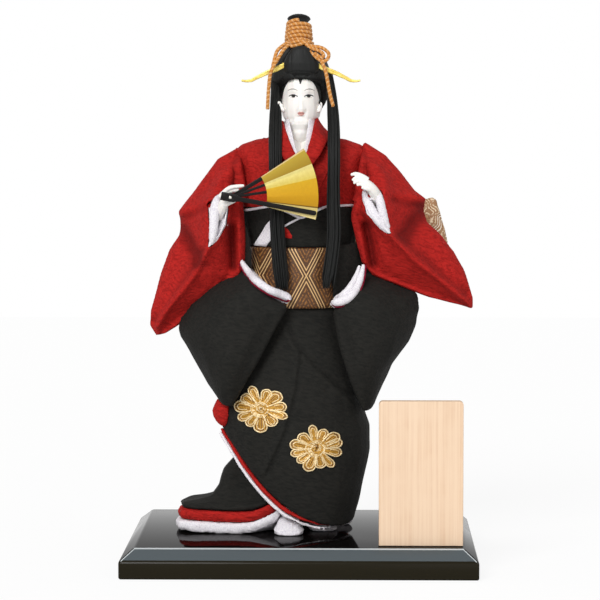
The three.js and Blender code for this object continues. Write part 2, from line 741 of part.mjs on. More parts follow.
doll.add(mesh("obi_tail", bowTail, BROCADE, 0.6));
doll.add(mesh("obi_loop_left", bowLoops.left, BROCADE, 0.6));
doll.add(mesh("obi_loop_right", bowLoops.right, BROCADE, 0.6));

// Fan: four sticks stacked on one rivet, the front guard held in the hand, and pleated leaf between

const fan = new THREE.Group();
fan.position.set(FAN_X, FAN_Y, FAN_Z);
doll.add(fan);

const STICK_PITCH = STICK_THICKNESS + CLEARANCE;
const FRONT_GUARD_Y = -1.5 * STICK_PITCH - LEAF_ROOM + STICK_PITCH - (STICK_THICKNESS + GUARD_THICKNESS) / 2;
const stickY = (index) => (index === 0 ? FRONT_GUARD_Y : (index - 1.5) * STICK_PITCH);
const stickDepth = (index) => (index === 0 ? GUARD_THICKNESS : STICK_THICKNESS);
const stickWidth = (index) => (index === 0 || index === STICK_ANGLES.length - 1 ? GUARD_WIDTH : RIB_WIDTH);

function stick(index) {
  const half = stickWidth(index) / 2;
  const outline = new THREE.Shape();
  if (index === 0) {
    outline.moveTo(GUARD_BLOCK_FRONT, GUARD_BLOCK_HALF);
    outline.lineTo(-GUARD_BLOCK_BACK, GUARD_BLOCK_HALF);
    outline.lineTo(-GUARD_BLOCK_BACK, -GUARD_BLOCK_HALF);
    outline.lineTo(GUARD_BLOCK_FRONT, -GUARD_BLOCK_HALF);
    outline.lineTo(3 * GUARD_BLOCK_FRONT, -half);
  } else {
    const meet = Math.asin(Math.min(1, (half * 0.8) / FAN_HEAD_RADIUS));
    outline.absarc(0, 0, FAN_HEAD_RADIUS, meet, 2 * Math.PI - meet, false);
    outline.lineTo(LEAF_INNER, -half);
  }
  outline.lineTo(FAN_LENGTH - 1, -half);
  outline.lineTo(FAN_LENGTH, -half + 1);
  outline.lineTo(FAN_LENGTH, half - 1);
  outline.lineTo(FAN_LENGTH - 1, half);
  outline.lineTo(index === 0 ? 3 * GUARD_BLOCK_FRONT : LEAF_INNER, half);
  const hole = new THREE.Path();
  hole.absarc(0, 0, RIVET_RADIUS + CLEARANCE, 0, 2 * Math.PI, true);
  outline.holes.push(hole);
  const depth = stickDepth(index);
  const blade = new THREE.ExtrudeGeometry(outline, { depth, bevelEnabled: false, curveSegments: 5 });
  blade.translate(0, 0, -depth / 2).rotateX(Math.PI / 2);
  return blade.rotateY(-radians(STICK_ANGLES[index])).translate(0, stickY(index), 0);
}

// One leaf panel: a strip of paper from stick to stick with a fold between, in front of the sticks.
function leaf(index) {
  const last = STICK_ANGLES.length - 2;
  const front = (i) => stickY(i) - STICK_THICKNESS / 2 - CLEARANCE - LEAF_THICKNESS / 2;
  const gap = LEAF_THICKNESS;
  const rows = [LEAF_INNER, (LEAF_INNER + FAN_LENGTH) / 2, FAN_LENGTH].map((reach) => {
    const degrees = (distance) => THREE.MathUtils.radToDeg(Math.asin(distance / reach));
    const from = STICK_ANGLES[index] + degrees(index === 0 ? -LEAF_BORDER : gap);
    const to = STICK_ANGLES[index + 1] + (index === last ? degrees(LEAF_OVERHANG) : -degrees(gap));
    const startY = index === 0 ? front(1) - PLEAT / 2 : front(index);
    const foldY = mix(startY, front(index + 1), 0.5) - (index === 0 ? PLEAT / 2 : PLEAT);
    const stations = [[from, startY], [mix(from, to, 0.5), foldY], [to, front(index + 1)]];
    const at = ([angle, y], shift) => point(
      reach * Math.cos(radians(angle)), y + shift * LEAF_THICKNESS / 2, reach * Math.sin(radians(angle)),
    );
    return [...stations.map((s) => at(s, -1)), ...stations.reverse().map((s) => at(s, 1))];
  });
  return skin(rows);
}

const rearSeat = stickY(STICK_ANGLES.length - 1) + STICK_THICKNESS / 2 + CLEARANCE;
const frontSeat = -stickY(0) + GUARD_THICKNESS / 2 + CLEARANCE;
const rivet = revolve([
  [0, -rearSeat - RIVET_HEAD_HEIGHT], [RIVET_HEAD_RADIUS * 0.7, -rearSeat - RIVET_HEAD_HEIGHT],
  [RIVET_HEAD_RADIUS, -rearSeat], [RIVET_RADIUS, -rearSeat], [RIVET_RADIUS, frontSeat],
  [RIVET_HEAD_RADIUS, frontSeat], [RIVET_HEAD_RADIUS * 0.7, frontSeat + RIVET_HEAD_HEIGHT],
  [0, frontSeat + RIVET_HEAD_HEIGHT],
], 10).rotateX(Math.PI / 2);
const STICK_NAMES = ["fan_guard_front", "fan_rib_1", "fan_rib_2", "fan_guard_rear"];
const sticks = STICK_NAMES.map((_, i) => stick(i));
STICK_NAMES.forEach((name, i) => fan.add(mesh(name, sticks[i], BLACK_LACQUER, 0.3)));
const leaves = [0, 1, 2].map((i) => leaf(i));
leaves.forEach((panel, i) => fan.add(mesh(`fan_leaf_${i + 1}`, panel, GOLD_LEAF, 0.45, 0.4)));
fan.add(mesh("fan_rivet", rivet, GOLD_PIN, 0.3, 0.9));

// Hands, each one piece from the wrist to the fingertips with a separate thumb joined on

function hand(path, sizes, thumbPath, side) {
  const palm = limb(path.map((p) => point(...p)), sizes, side, 12);
  const thumbSizes = [[1.8, 1.8], [1.9, 1.8], [1.6, 1.5], [0.9, 0.8]];
  const thumb = limb(thumbPath.map((p) => point(...p)), thumbSizes, side, 8);
  return join(palm, thumb);
}

const fanPlaced = [...sticks, rivet, ...leaves].map((piece) => piece.clone().translate(FAN_X, FAN_Y, FAN_Z));
const rightHand = cut(hand(
  [
    [-68, -36, 254.2], [-67.5, -40.8, 256.5], [-65, -43.5, 260], [-61, -45, 264], [-55, -45.6, 267.5],
    [-49, -45.6, 269.4], [-44.5, -45.6, 269.2],
  ],
  [[3.4, 3.2], [4, 3.6], [5.6, 3.4], [6.6, 3], [5.8, 2.6], [4.2, 2.2], [2, 1.3]],
  [[-66, -46, 257.5], [-62, -48.5, 256.8], [-58.5, -48.5, 257], [-57, -48.5, 257.3]], point(-0.5, 0, 1),
), [rightArm, ...fanPlaced]);
const leftHand = cut(hand(
  [
    [59, -37.7, 262.9], [57.3, -41.7, 265.6], [54, -45, 269.5], [49.5, -46.5, 273.5], [45, -47, 276],
    [41, -47, 277], [37.5, -46.5, 276.6],
  ],
  [[3.4, 3.2], [4, 3.6], [5.4, 3.2], [5.8, 2.8], [5, 2.4], [3.8, 2], [1.6, 1.1]],
  [[53, -47.5, 268], [48, -50, 270.5], [43.5, -50.5, 271.8], [40.5, -50, 272]], point(0.4, 0, 1),
), [leftArm]);
doll.add(mesh("hand_right", rightHand, GOFUN, 0.45));
doll.add(mesh("hand_left", leftHand, GOFUN, 0.45));

// Red sleeves. Each section runs from the sleeve's outer edge to its inner edge. Its front stands
// out to a ridge, which parts into the two lips of the hand opening, then sinks into a long fold.
// Rows: outer x, z, inner x, z, outer y, first lip, second lip, lip y, fold, fold y, inner y, back y.

const RIGHT_SLEEVE = [
  [-50.5, 298.5, -43.5, 262, -1, 0.3, 0.5, -19, 0.7, -18, -6, 15],
  [-66, 289, -44.5, 258, -2, 0.34, 0.55, -24, 0.72, -22, -10, 15],
  [-77, 274, -44.5, 253, -4, 0.38, 0.66, -33, 0.76, -26, -13, 15],
  [-89, 258, -44, 246, -5, 0.4, 0.76, -43, 0.84, -30, -16, 14],
  [-97, 245.5, -43.5, 239, -6, 0.51, 0.75, -44, 0.82, -27, -17, 13],
  [-93, 235, -43, 230, -8, 0.48, 0.64, -44, 0.8, -24, -18, 12],
  [-99, 226, -43.5, 219, -8, 0.5, 0.54, -43, 0.82, -23, -18, 12],
  [-107, 208.5, -45, 204, -8, 0.43, 0.48, -39, 0.84, -22, -17, 11],
  [-112, 191.5, -56, 191, -8, 0.37, 0.42, -33, 0.8, -20, -15, 9],
  [-117, 174, -75, 175, -8, 0.3, 0.36, -26, 0.75, -17, -12, 6],
  [-118.5, 161, -96, 160, -8, 0.3, 0.4, -17, 0.7, -13, -9, 2],
  [-113, 152.5, -106, 154, -8, 0.3, 0.5, -11, 0.7, -10, -8, -3],
];
const LEFT_SLEEVE = [
  [50.5, 302.5, 43.5, 264, -1, 0.3, 0.5, -19, 0.7, -18, -6, 15],
  [67, 292, 43.5, 262, -2, 0.34, 0.55, -25, 0.72, -22, -10, 15],
  [80, 277, 42.5, 260, -4, 0.4, 0.66, -35, 0.76, -27, -13, 15],
  [91, 263, 41, 254, -5, 0.56, 0.86, -44, 0.9, -32, -18, 14],
  [99, 257.5, 39.5, 247, -6, 0.58, 0.82, -45, 0.88, -29, -20, 13],
  [94, 245, 40, 240, -8, 0.54, 0.68, -45, 0.82, -25, -21, 12],
  [104, 236.5, 42.5, 230, -8, 0.55, 0.6, -43, 0.82, -23, -20, 12],
  [116, 223, 46.5, 215, -8, 0.47, 0.51, -39, 0.86, -22, -18, 11],
  [125, 208, 52, 203, -8, 0.36, 0.4, -34, 0.9, -20, -15, 9],
  [130, 194.5, 72, 193.5, -8, 0.27, 0.32, -28, 0.8, -18, -12, 6],
  [133.5, 183, 98, 183, -8, 0.2, 0.28, -20, 0.75, -14, -9, 2],
  [133.8, 173.5, 126, 176, -8, 0.3, 0.5, -11, 0.7, -10, -8, -3],
];

// One section as a closed loop of nine points.
function sleeveSection([xo, zo, xi, zi, yo, lip1, lip2, yl, foldAt, yf, yi, yb]) {
  const at = (share, y) => point(mix(xo, xi, share), y, mix(zo, zi, share));
  return [
    at(0, yo), at(lip1 * 0.55, mix(yo, yl, 0.5)), at(lip1, yl), at(lip2, yl + 1), at(foldAt, yf),
    at((foldAt + 2) / 3, mix(yf, yi, 0.3) - 4), at(1, yi), at(0.66, yb * 0.8), at(0.3, yb),
  ];
}

// The hand opening: a wedge between the lips, as deep as given, from its top row to where they meet.
const OPENING_ROWS = [3, 4, 5, 6];

function openingWedge(rows, depth, inset) {
  return skin(OPENING_ROWS.map((row, place) => {
    const [xo, zo, xi, zi, , lip1, lip2, yl] = rows[row];
    const inward = Math.sign(xi - xo);
    const narrow = Math.min(inset, 0.4 * (lip2 - lip1 + 0.02) * Math.abs(xi - xo));
    const at = (share, shift, y) => point(mix(xo, xi, share) + shift, y, mix(zo, zi, share));
    const deep = mix(depth, depth * 0.35, place / 3);
    const lift = [5 - inset, 0, 0, inset * 1.5][place];
    const wedge = [
      at(lip1 - 0.01, inward * narrow, yl - 5), at(lip2 + 0.01, -inward * narrow, yl - 5),
      at(lip2 - 0.01, -inward * narrow, yl + deep - inset),
      at(lip1 + 0.01, inward * narrow, yl + deep - inset),
    ];
    return wedge.map((p) => p.add(point(0, 0, lift)));
  }));
}

const body = [torso, band, piping, obi, skirtOuter];

function sleeve(rows, inside) {
  const bag = loft(rows.map(sleeveSection), 24, 12);
  const opening = openingWedge(rows, OPENING_DEPTH, 0);
  const piece = cut(cut(bag, [opening], 0), [...body, ...inside]);
  const linerInside = openingWedge(rows, OPENING_DEPTH, LINER_EASE + LINING);
  const liner = cut(openingWedge(rows, OPENING_DEPTH, LINER_EASE), [linerInside], 0);
  return { piece, liner: cut(common(liner, bag), inside) };
}

const rightSleeve = sleeve(RIGHT_SLEEVE, [rightArm, rightHand]);
const leftSleeve = sleeve(LEFT_SLEEVE, [leftArm, leftHand]);
doll.add(mesh("sleeve_right", rightSleeve.piece, RED_CREPE, 0.85));
doll.add(mesh("sleeve_left", leftSleeve.piece, RED_CREPE, 0.85));
doll.add(mesh("sleeve_lining_right", rightSleeve.liner, WHITE_CLOTH, 0.85));
doll.add(mesh("sleeve_lining_left", leftSleeve.liner, WHITE_CLOTH, 0.85));

// Black sleeves slipped from the arms, hanging at the hips with their mouths turned up.
// Rows: outer x, z, inner x, z, front y at the outer third, front y at the inner third, inner y.

const RIGHT_LOWERED = [
  [-47, 207, -9, 177, -40, -46, -43], [-75, 192, -20, 157, -42, -52, -47],
  [-97, 164, -29, 140, -40, -54, -48], [-87, 141, -38, 124, -38, -53, -47],
  [-73, 115, -47, 108, -35, -47, -44], [-63, 102.5, -53, 99.5, -33, -40, -40],
];
const LEFT_LOWERED = [
  [52, 203, 25, 174, -40, -46, -43], [75, 194, 27, 160, -40, -51, -46], [91, 174, 30, 145, -38, -53, -48],
  [84.5, 149, 35, 128, -36, -52, -49], [71, 131, 41, 112, -34, -48, -47], [57, 98, 48, 97, -33, -42, -43],
];

function loweredSection([xo, zo, xi, zi, yo, ym, yi], sag = 0, drawn = 0) {
  const at = (share, y) => {
    const place = mix(share, 0.5, drawn);
    return point(mix(xo, xi, place), y, mix(zo, zi, place) - 4 * sag * place * (1 - place));
  };
  return [
    at(0, yo * 0.35), at(0.3, yo - 4), at(0.66, ym), at(0.9, yi - 2), at(1, yi + 4),
    at(0.7, ym * 0.55), at(0.35, -8), at(0.1, -4),
  ];
}

const sleeves = [rightSleeve.piece, leftSleeve.piece];

function lowered(rows) {
  const sections = rows.map((row, i) => loweredSection(row, MOUTH_SAG / (1 + 2 * i)));
  const piece = cut(loft(sections, 16, 10), [...body, ...sleeves]);
  const [xo, zo, xi, zi] = rows[0];
  const rise = point(zo - zi, 0, 0).setZ(Math.abs(xi - xo)).normalize();
  rise.x *= Math.sign(xi - xo);
  const mouth = loweredSection(rows[0], MOUTH_SAG, 0.06);
  const lift = (share) => mouth.map((p) => p.clone().addScaledVector(rise, CLEARANCE + CUFF_WIDTH * share));
  const cuff = loft([lift(0), lift(0.5), lift(1)], 16, 2);
  return { piece, cuff: cut(cuff, [...body, ...sleeves, piece]) };
}

const rightLowered = lowered(RIGHT_LOWERED);
const leftLowered = lowered(LEFT_LOWERED);
doll.add(mesh("lowered_sleeve_right", rightLowered.piece, BLACK_CREPE, 0.9));
doll.add(mesh("lowered_sleeve_left", leftLowered.piece, BLACK_CREPE, 0.9));
doll.add(mesh("lowered_cuff_right", rightLowered.cuff, WHITE_CLOTH, 0.85));
doll.add(mesh("lowered_cuff_left", leftLowered.cuff, WHITE_CLOTH, 0.85));

// A red flap of the lining that turns out under the right lowered sleeve

const flapSections = [
  [[-52, -24, 104], [-60, -27, 105], [-64, -20, 106], [-56, -14, 105]],
  [[-52, -26, 96], [-62, -30, 96], [-69, -21, 95], [-58, -14, 96]],
  [[-54, -26, 88], [-61, -29, 87], [-66, -22, 87], [-58, -15, 88]],
  [[-57, -24, 83], [-60, -26, 83], [-62, -22, 83.5], [-59, -19, 83]],
].map((section) => section.map((p) => point(...p)));
const flapRoom = [skirtOuter, rightLowered.piece, redRoll, whiteRoll, train];
const flap = cut(loft(flapSections, 12, 6), flapRoom);
doll.add(mesh("lining_flap", flap, RED_CREPE, 0.85));

// Head: neck peg, neck and face in one, turned on the peg in the body

const head = new THREE.Group();
head.position.set(0, 2, NECK_HEIGHT);
doll.add(head);

const FACE = [
  [NECK_LOW, NECK_RADIUS - 0.3, 7.7, 7.7], [4, 7.6, 7.6, 7.6], [12, 7.8, 8, 8.4], [15.4, 8.4, 15, 10],
  [16.6, 9, 19.4, 11],
  [19, 11, 21.2, 12.5], [23, 13.2, 21.6, 14.5], [28, 14.6, 21.6, 16], [33, 15.2, 21.4, 17],
  [38, 15.4, 21, 18], [45, 15.6, 21.4, 18.5], [52, 15.2, 20.4, 18], [60, 13.4, 16.5, 15], [67, 9, 9.5, 10],
  [70, 4, 4, 4.5],
];

function face() {
  const round = stack(FACE, 0, 0, 18);
  const position = round.getAttribute("position");
  for (let i = 0; i < position.count; i += 1) {
    const x = position.getX(i);
    const y = position.getY(i);
    const rise = (position.getZ(i) - NOSE_HEIGHT) / 4.5;
    const near = Math.exp(-((x / 2.2) ** 2) - rise * rise);
    if (y < 0) position.setY(i, y - NOSE_REACH * near);
  }
  return round;
}

const peg = rod(0, 0, NECK_LOW - PEG_LENGTH + 2, NECK_LOW + 4, PEG_RADIUS - CLEARANCE, 14);
const headPiece = join(face(), peg);

// Hair: the dressed cap with its side puffs, the front roll and the topknot
const HAIR_ROWS = [
  [21, 9, -9, 20], [26, 14.5, -5, 25], [33, 19, 1, 28.5], [40, 22, 6, 30], [46, 24.5, 12, 30.5],
  [50.5, 25.5, 19.5, 30], [52, 25.4, 22.2, 29.8], [56, 24, 23, 28.5], [62, 20, 21, 25], [68, 15.5, 16.5, 19],
  [73, 11, 12, 13], [77, 7.5, 8, 8],
];
const hairForm = stack(HAIR_ROWS, 0, 0, 18);
const frontRoll = stack([
  [52.5, 8, 2, 6], [54, 11, 5, 6], [58, 13, 7.4, 7], [64, 13, 7.4, 8], [70, 10.5, 6.4, 8],
  [75, 6.5, 5, 7], [77, 3, 3, 4],
], 0.4, -16.5, 14);

const pinPath = (sign) => new THREE.CatmullRomCurve3([
  point(sign * 10, -16, 63.5), point(sign * 20, -16.5, 59), point(sign * 30, -17, 55),
  point(sign * 40, -17.5, 50), point(sign * 46, -18, 50.6),
]);

function hairPin(sign) {
  const steps = 7;
  const path = pinPath(sign).getPoints(steps);
  const sizes = path.map((_, i) => [mix(PIN_WIDTH, PIN_WIDTH * 0.5, i / steps) / 2, PIN_THICKNESS / 2]);
  return limb(path, sizes, point(0.25, 0, 1), 6);
}

const pins = { right: hairPin(-1), left: hairPin(1) };
const hairCap = cut(hairForm, [headPiece, frontRoll, pins.right, pins.left]);
const rollPiece = cut(frontRoll, [headPiece, pins.right, pins.left]);
head.add(mesh("head", headPiece, GOFUN, 0.45));
head.add(mesh("hair_cap", hairCap, HAIR, 0.6));
head.add(mesh("front_hair_roll", rollPiece, HAIR, 0.6));
head.add(mesh("hair_pin_right", pins.right, GOLD_PIN, 0.3, 0.9));
head.add(mesh("hair_pin_left", pins.left, GOLD_PIN, 0.3, 0.9));

const topknotGroup = new THREE.Group();
topknotGroup.position.set(-2, -1, 77.2 + CLEARANCE);
topknotGroup.rotation.x = -radians(TOPKNOT_LEAN);
head.add(topknotGroup);
topknotGroup.updateMatrix();

const windingHeight = WINDING_PITCH * WINDING_TURNS;
const topknot = revolve([
  [0, 0], [TOPKNOT_RADIUS, 0], [TOPKNOT_RADIUS + 1.4, 5], [TOPKNOT_RADIUS, windingHeight],
  [TOPKNOT_RADIUS + 1.6, windingHeight + 2], [TOPKNOT_RADIUS + 2.6, TOPKNOT_HEIGHT - 1.6],
  [TOPKNOT_RADIUS + 1, TOPKNOT_HEIGHT], [0, TOPKNOT_HEIGHT],
], 16);

// The binding is one cord laid on in a helix that follows the topknot's swell.
class Winding extends THREE.Curve {
  getPoint(share, target = new THREE.Vector3()) {
    const turn = share * WINDING_TURNS * 2 * Math.PI;
    const z = WINDING_CORD / 2 + 0.4 + share * (windingHeight - WINDING_CORD);
    const swell = 1.4 * Math.max(0, z < 5 ? z / 5 : 1 - (z - 5) / (windingHeight - 5));
    const reach = TOPKNOT_RADIUS + swell + WINDING_CORD / 2 + CLEARANCE + 0.15;
    return target.set(reach * Math.sin(turn), -reach * Math.cos(turn), z);
  }
}

const winding = new Winding();
const windingSteps = WINDING_TURNS * STEPS_PER_TURN;
const windingPoints = winding.getSpacedPoints(windingSteps);
let leastGap = Infinity;
windingPoints.forEach((p, i) => {
  for (let k = i + STEPS_PER_TURN / 2; k < windingPoints.length; k += 1) {
    leastGap = Math.min(leastGap, p.distanceTo(windingPoints[k]) - WINDING_CORD);
  }
});
console.log(`topknot binding: ${WINDING_TURNS} turns, least gap to itself ${leastGap.toFixed(2)} mm`);
const windingPiece = tube(winding, WINDING_CORD / 2, 6, windingSteps);
const topknotPlaced = topknot.clone().applyMatrix4(topknotGroup.matrix);
const seatedTopknot = cut(topknot, [hairCap, rollPiece].map((piece) => {
  return piece.clone().applyMatrix4(topknotGroup.matrix.clone().invert());
}));
const seatedWinding = cut(windingPiece, [hairCap, rollPiece].map((piece) => {
  return piece.clone().applyMatrix4(topknotGroup.matrix.clone().invert());
}));
topknotGroup.add(mesh("topknot", seatedTopknot, HAIR, 0.6));
topknotGroup.add(mesh("topknot_cord", seatedWinding, GOLD_CORD, 0.55));

// Free ends of the binding cord: two tails and one bow loop
const windingPlaced = seatedWinding.clone().applyMatrix4(topknotGroup.matrix);
const CORD_ROUTES = {
  cord_tail_right: [
    [-10, -14, 78], [-18, -17.5, 71], [-21, -20, 64], [-24.5, -22, 57], [-27, -19, 49], [-28.5, -15, 38],
    [-29, -13, 29],
  ],
  cord_tail_left: [
    [14.5, -19.5, 67], [20.5, -20.5, 60], [25, -21, 52.5], [28, -17.5, 46], [29, -14, 38], [29.5, -12, 32],
  ],
  cord_bow: [
    [5.5, -14.5, 77.5], [13, -16, 76], [19.5, -17.5, 74.5], [21.5, -19, 70.5], [16.5, -19.5, 70.4],
    [11, -20.5, 71.5],
  ],
};
const cordPieces = {};
Object.entries(CORD_ROUTES).forEach(([name, route]) => {
  const path = new THREE.CatmullRomCurve3(route.map((p) => point(...p)));
  const steps = Math.max(6, Math.round(path.getLength() / (2 * TIE_CORD)));
  const others = [hairCap, rollPiece, headPiece, windingPlaced, topknotPlaced, pins.right, pins.left];
  cordPieces[name] = cut(tube(path, TIE_CORD / 2, 8, steps), [...others, ...Object.values(cordPieces)]);
  head.add(mesh(name, cordPieces[name], GOLD_CORD, 0.55));
});

// Side locks: flat tresses that hang from the side puffs down over the chest
const LOCK_ROUTES = {
  side_lock_right: [
    [-22.5, -10, 57], [-22.5, -18, 40], [-20.5, -25, 26], [-20, -33, 8], [-19.5, -38, -10],
    [-18.5, -40.5, -40], [-18, -42, -75], [-18, -43, -108],
  ],
  side_lock_left: [
    [23, -10, 57], [24, -18, 40], [24.5, -25, 26], [25.5, -33, 8], [25.5, -38, -10], [24.5, -40.5, -40],
    [22.5, -42, -75], [20.5, -43, -106],
  ],
};
const chestPieces = [torso, band, piping, obi, redCollar, innerCollar, ...sleeves];
const chest = [...chestPieces, rightLowered.cuff, leftLowered.cuff]
  .map((piece) => piece.clone().translate(0, -2, -NECK_HEIGHT));
Object.entries(LOCK_ROUTES).forEach(([name, route]) => {
  const steps = 14;
  const path = new THREE.CatmullRomCurve3(route.map((p) => point(...p))).getPoints(steps);
  const sizes = path.map((_, i) => {
    const taper = i < 2 ? 0.7 + 0.15 * i : 1;
    const end = i > steps - 2 ? 0.75 : 1;
    return [LOCK_HALF * taper * end * mix(0.9, 1.15, i / steps), (LOCK_THICKNESS / 2) * taper * end];
  });
  const lockRoom = [hairCap, headPiece, ...chest, ...Object.values(cordPieces)];
  const lock = cut(limb(path, sizes, point(1, 0, 0), 8), lockRoom);
  head.add(mesh(name, lock, HAIR, 0.6));
});

// Plaque: a plain wooden board that stands loose on the stand in front of the doll

function plaque() {
  const half = PLAQUE_WIDTH / 2;
  const outline = new THREE.Shape();
  outline.moveTo(-half, 0);
  outline.lineTo(half, 0);
  outline.lineTo(half, PLAQUE_HEIGHT - PLAQUE_CORNER);
  const cornerX = half - PLAQUE_CORNER;
  const cornerZ = PLAQUE_HEIGHT - PLAQUE_CORNER;
  outline.absarc(cornerX, cornerZ, PLAQUE_CORNER, 0, Math.PI / 2, false);
  outline.absarc(-cornerX, cornerZ, PLAQUE_CORNER, Math.PI / 2, Math.PI, false);
  const slab = new THREE.ExtrudeGeometry(outline, {
    depth: PLAQUE_THICKNESS, bevelEnabled: false, curveSegments: 6,
  });
  return slab.rotateX(Math.PI / 2).translate(0, PLAQUE_THICKNESS, 0);
}

const plaqueMesh = mesh("name_plaque", plaque(), BARE_WOOD, 0.6);
plaqueMesh.position.set(PLAQUE_X, PLAQUE_FRONT_Y, BASE_HEIGHT + CLEARANCE);
object.add(plaqueMesh);

export default object;
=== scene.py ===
import math
import random

import bpy
from bpy.props import FloatProperty, FloatVectorProperty, IntProperty, PointerProperty
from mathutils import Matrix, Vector, noise
from mathutils.bvhtree import BVHTree


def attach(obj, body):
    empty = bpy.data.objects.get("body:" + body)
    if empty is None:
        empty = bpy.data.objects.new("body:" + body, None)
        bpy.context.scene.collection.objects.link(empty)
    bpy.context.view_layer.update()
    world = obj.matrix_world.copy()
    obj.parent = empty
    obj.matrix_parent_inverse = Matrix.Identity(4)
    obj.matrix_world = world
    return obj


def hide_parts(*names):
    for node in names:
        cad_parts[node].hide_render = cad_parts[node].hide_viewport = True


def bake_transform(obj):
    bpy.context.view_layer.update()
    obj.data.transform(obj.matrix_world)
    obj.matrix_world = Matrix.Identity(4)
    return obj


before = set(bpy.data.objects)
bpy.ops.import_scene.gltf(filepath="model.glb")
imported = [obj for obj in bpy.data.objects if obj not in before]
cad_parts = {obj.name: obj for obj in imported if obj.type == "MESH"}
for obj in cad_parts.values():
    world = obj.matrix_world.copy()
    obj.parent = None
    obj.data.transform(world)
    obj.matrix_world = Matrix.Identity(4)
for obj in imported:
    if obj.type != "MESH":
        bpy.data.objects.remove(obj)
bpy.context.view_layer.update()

bl_info = {
    "name": "Costume doll with a folding fan",
    "version": (1, 0, 0),
    "blender": (4, 5, 0),
    "location": "View3D > Sidebar > Doll",
    "description": "Dresses the packed solids of a costume doll in cloth, hair, lacquer and gilt",
    "category": "Object",
}

MM = 0.001
# Corners of a solid's facets that lie closer than this are one corner
MERGE_WITHIN = 2e-6
# Steps of a smooth curve between two of its stations
CURVE_STEPS = 24


# Colours, nodes and small helpers

def linear(text):
    """A hex colour as written in sRGB, in linear values."""
    channels = [int(text[i:i + 2], 16) / 255 for i in (1, 3, 5)]
    return (*[c / 12.92 if c <= 0.04045 else ((c + 0.055) / 1.055) ** 2.4 for c in channels], 1.0)


def colour(name, text, description):
    return FloatVectorProperty(
        name=name, description=description, subtype="COLOR", size=4, min=0, max=1, default=linear(text))


def length(name, value, description):
    """A length given in millimetres and kept in metres."""
    return FloatProperty(name=name, description=description, default=value * MM, min=0, unit="LENGTH",
        precision=5)


def mm(x, y, z):
    return Vector((x, y, z)) * MM


def mix(a, b, share):
    return a + (b - a) * share


def per_mm(size):
    """Scale of a texture on Object coordinates whose features are this many millimetres wide."""
    return 1 / (size * MM)


def add_node(tree, kind, inputs=None, out=0, **settings):
    """Adds a node with its settings and gives one of its outputs. An input that is a socket is linked."""
    node = tree.nodes.new("ShaderNode" + kind)
    for key, value in settings.items():
        setattr(node, key, value)
    for key, value in (inputs or {}).items():
        if isinstance(value, bpy.types.NodeSocket):
            tree.links.new(value, node.inputs[key])
        else:
            node.inputs[key].default_value = value
    return node.outputs[out] if len(node.outputs) else None


def new_material(name):
    """The empty node tree of a new material, which the pieces find by its name."""
    material = bpy.data.materials.new(name)
    material.use_nodes = True
    material.node_tree.nodes.clear()
    return material.node_tree


def finish_material(tree, inputs):
    shader = add_node(tree, "BsdfPrincipled", inputs)
    add_node(tree, "OutputMaterial", {"Surface": shader})


# Settings

class ClothSettings(bpy.types.PropertyGroup):
    """Cloth of the kimono and its hems"""
    # Each cloth has a lit tone and a shaded copy; the shaded copy is painted into the crinkles and folds as
    # painted shade
    red: colour("Red crepe", "#b5211c", "Lit face of the red under-kimono")
    red_shaded: colour("Red crepe, deep", "#7e0d0a", "Hollows of the red crepe")
    black: colour("Black crepe", "#201f1c", "Lit face of the black kimono")
    black_shaded: colour("Black crepe, deep", "#0e0f0d", "Hollows of the black crepe")
    white: colour("White silk", "#f3f0f2", "Padded white hems and linings")
    white_shaded: colour("White silk, deep", "#cfc9d6", "Lilac hollows of the white silk")
    edge: colour("Crimson edge", "#8c1030", "Piping under the white cuffs")
    brocade: colour("Brocade ground", "#5c3513", "Ground of the sash")
    brocade_gold: colour("Brocade gold", "#dcb47c", "Gold thread of the sash")
    brocade_dark: colour("Brocade brown", "#36200a", "Dark warp of the sash")
    figure: colour("Brocade orange", "#96632a", "Orange figure inside the sash's lattice")
    # Lit and shaded copies of the gold thread: painted highlight and painted shade on the embroidery
    thread: colour("Embroidery thread", "#f6e4b8", "Lit gold thread of the flowers")
    thread_shaded: colour("Embroidery thread, deep", "#8c6224", "Gold thread in the hollows")
    crepe_grain: length("Crepe grain", 1.8, "Width of one crinkle of the crepe")
    silk_grain: length("Silk grain", 1.1, "Width of one crinkle of the white silk")
    voxel: length("Remesh step", 1.3, "Facet size of the large cloth pieces")


class StandSettings(bpy.types.PropertyGroup):
    """Stand and plaque"""
    lacquer: colour("Lacquer", "#0d0b0a", "Black lacquer of the stand")
    plaque: colour("Plaque wood", "#e9cdb0", "Bare wood of the plaque")
    plaque_grain: colour("Plaque grain", "#d8b392", "Late wood of the plaque")
    edge_round: length("Edge round", 1.5, "Radius on the edges of the stand")
    grain_width: length("Grain width", 1.6, "Distance between the plaque's grain lines")


class HeadSettings(bpy.types.PropertyGroup):
    """Face, hair and ornaments"""
    gofun: colour("Shell white", "#f7f4f0", "White of the face and hands")
    ink: colour("Ink", "#171311", "Painted eyes")
    brow: colour("Brow ink", "#6d6660", "Thin wash of the brows")
    lip: colour("Lip red", "#e0a59b", "Painted lips")
    hair: colour("Hair", "#0c0d0c", "Dressed hair")
    hair_light: colour("Hair, lit", "#1c1d1c", "Strands that catch the light")
    cord: colour("Gold cord", "#b9701f", "Twisted silk cord")
    cord_light: colour("Gold cord, lit", "#ebbd88", "Ridges of the twisted cord")
    pin: colour("Gilt", "#f0dc7c", "Gilt brass of the hair pins")
    face_step: length("Face step", 0.5, "Facet size of the face")
    strand: length("Strand", 0.75, "Thickness of one strand of a side lock")
    strands: IntProperty(name="Strands", description="Strands in a side lock", default=70, min=8, max=200)


class FanSettings(bpy.types.PropertyGroup):
    """Folding fan"""
    lacquer: colour("Stick lacquer", "#141110", "Black lacquer of the sticks")
    paper: length("Paper", 0.25, "Thickness of the fan's leaf")


class DollSettings(bpy.types.PropertyGroup):
    """All settings of the doll"""
    cloth: PointerProperty(type=ClothSettings)
    stand: PointerProperty(type=StandSettings)
    head: PointerProperty(type=HeadSettings)
    fan: PointerProperty(type=FanSettings)


def settings():
    return bpy.context.scene.doll
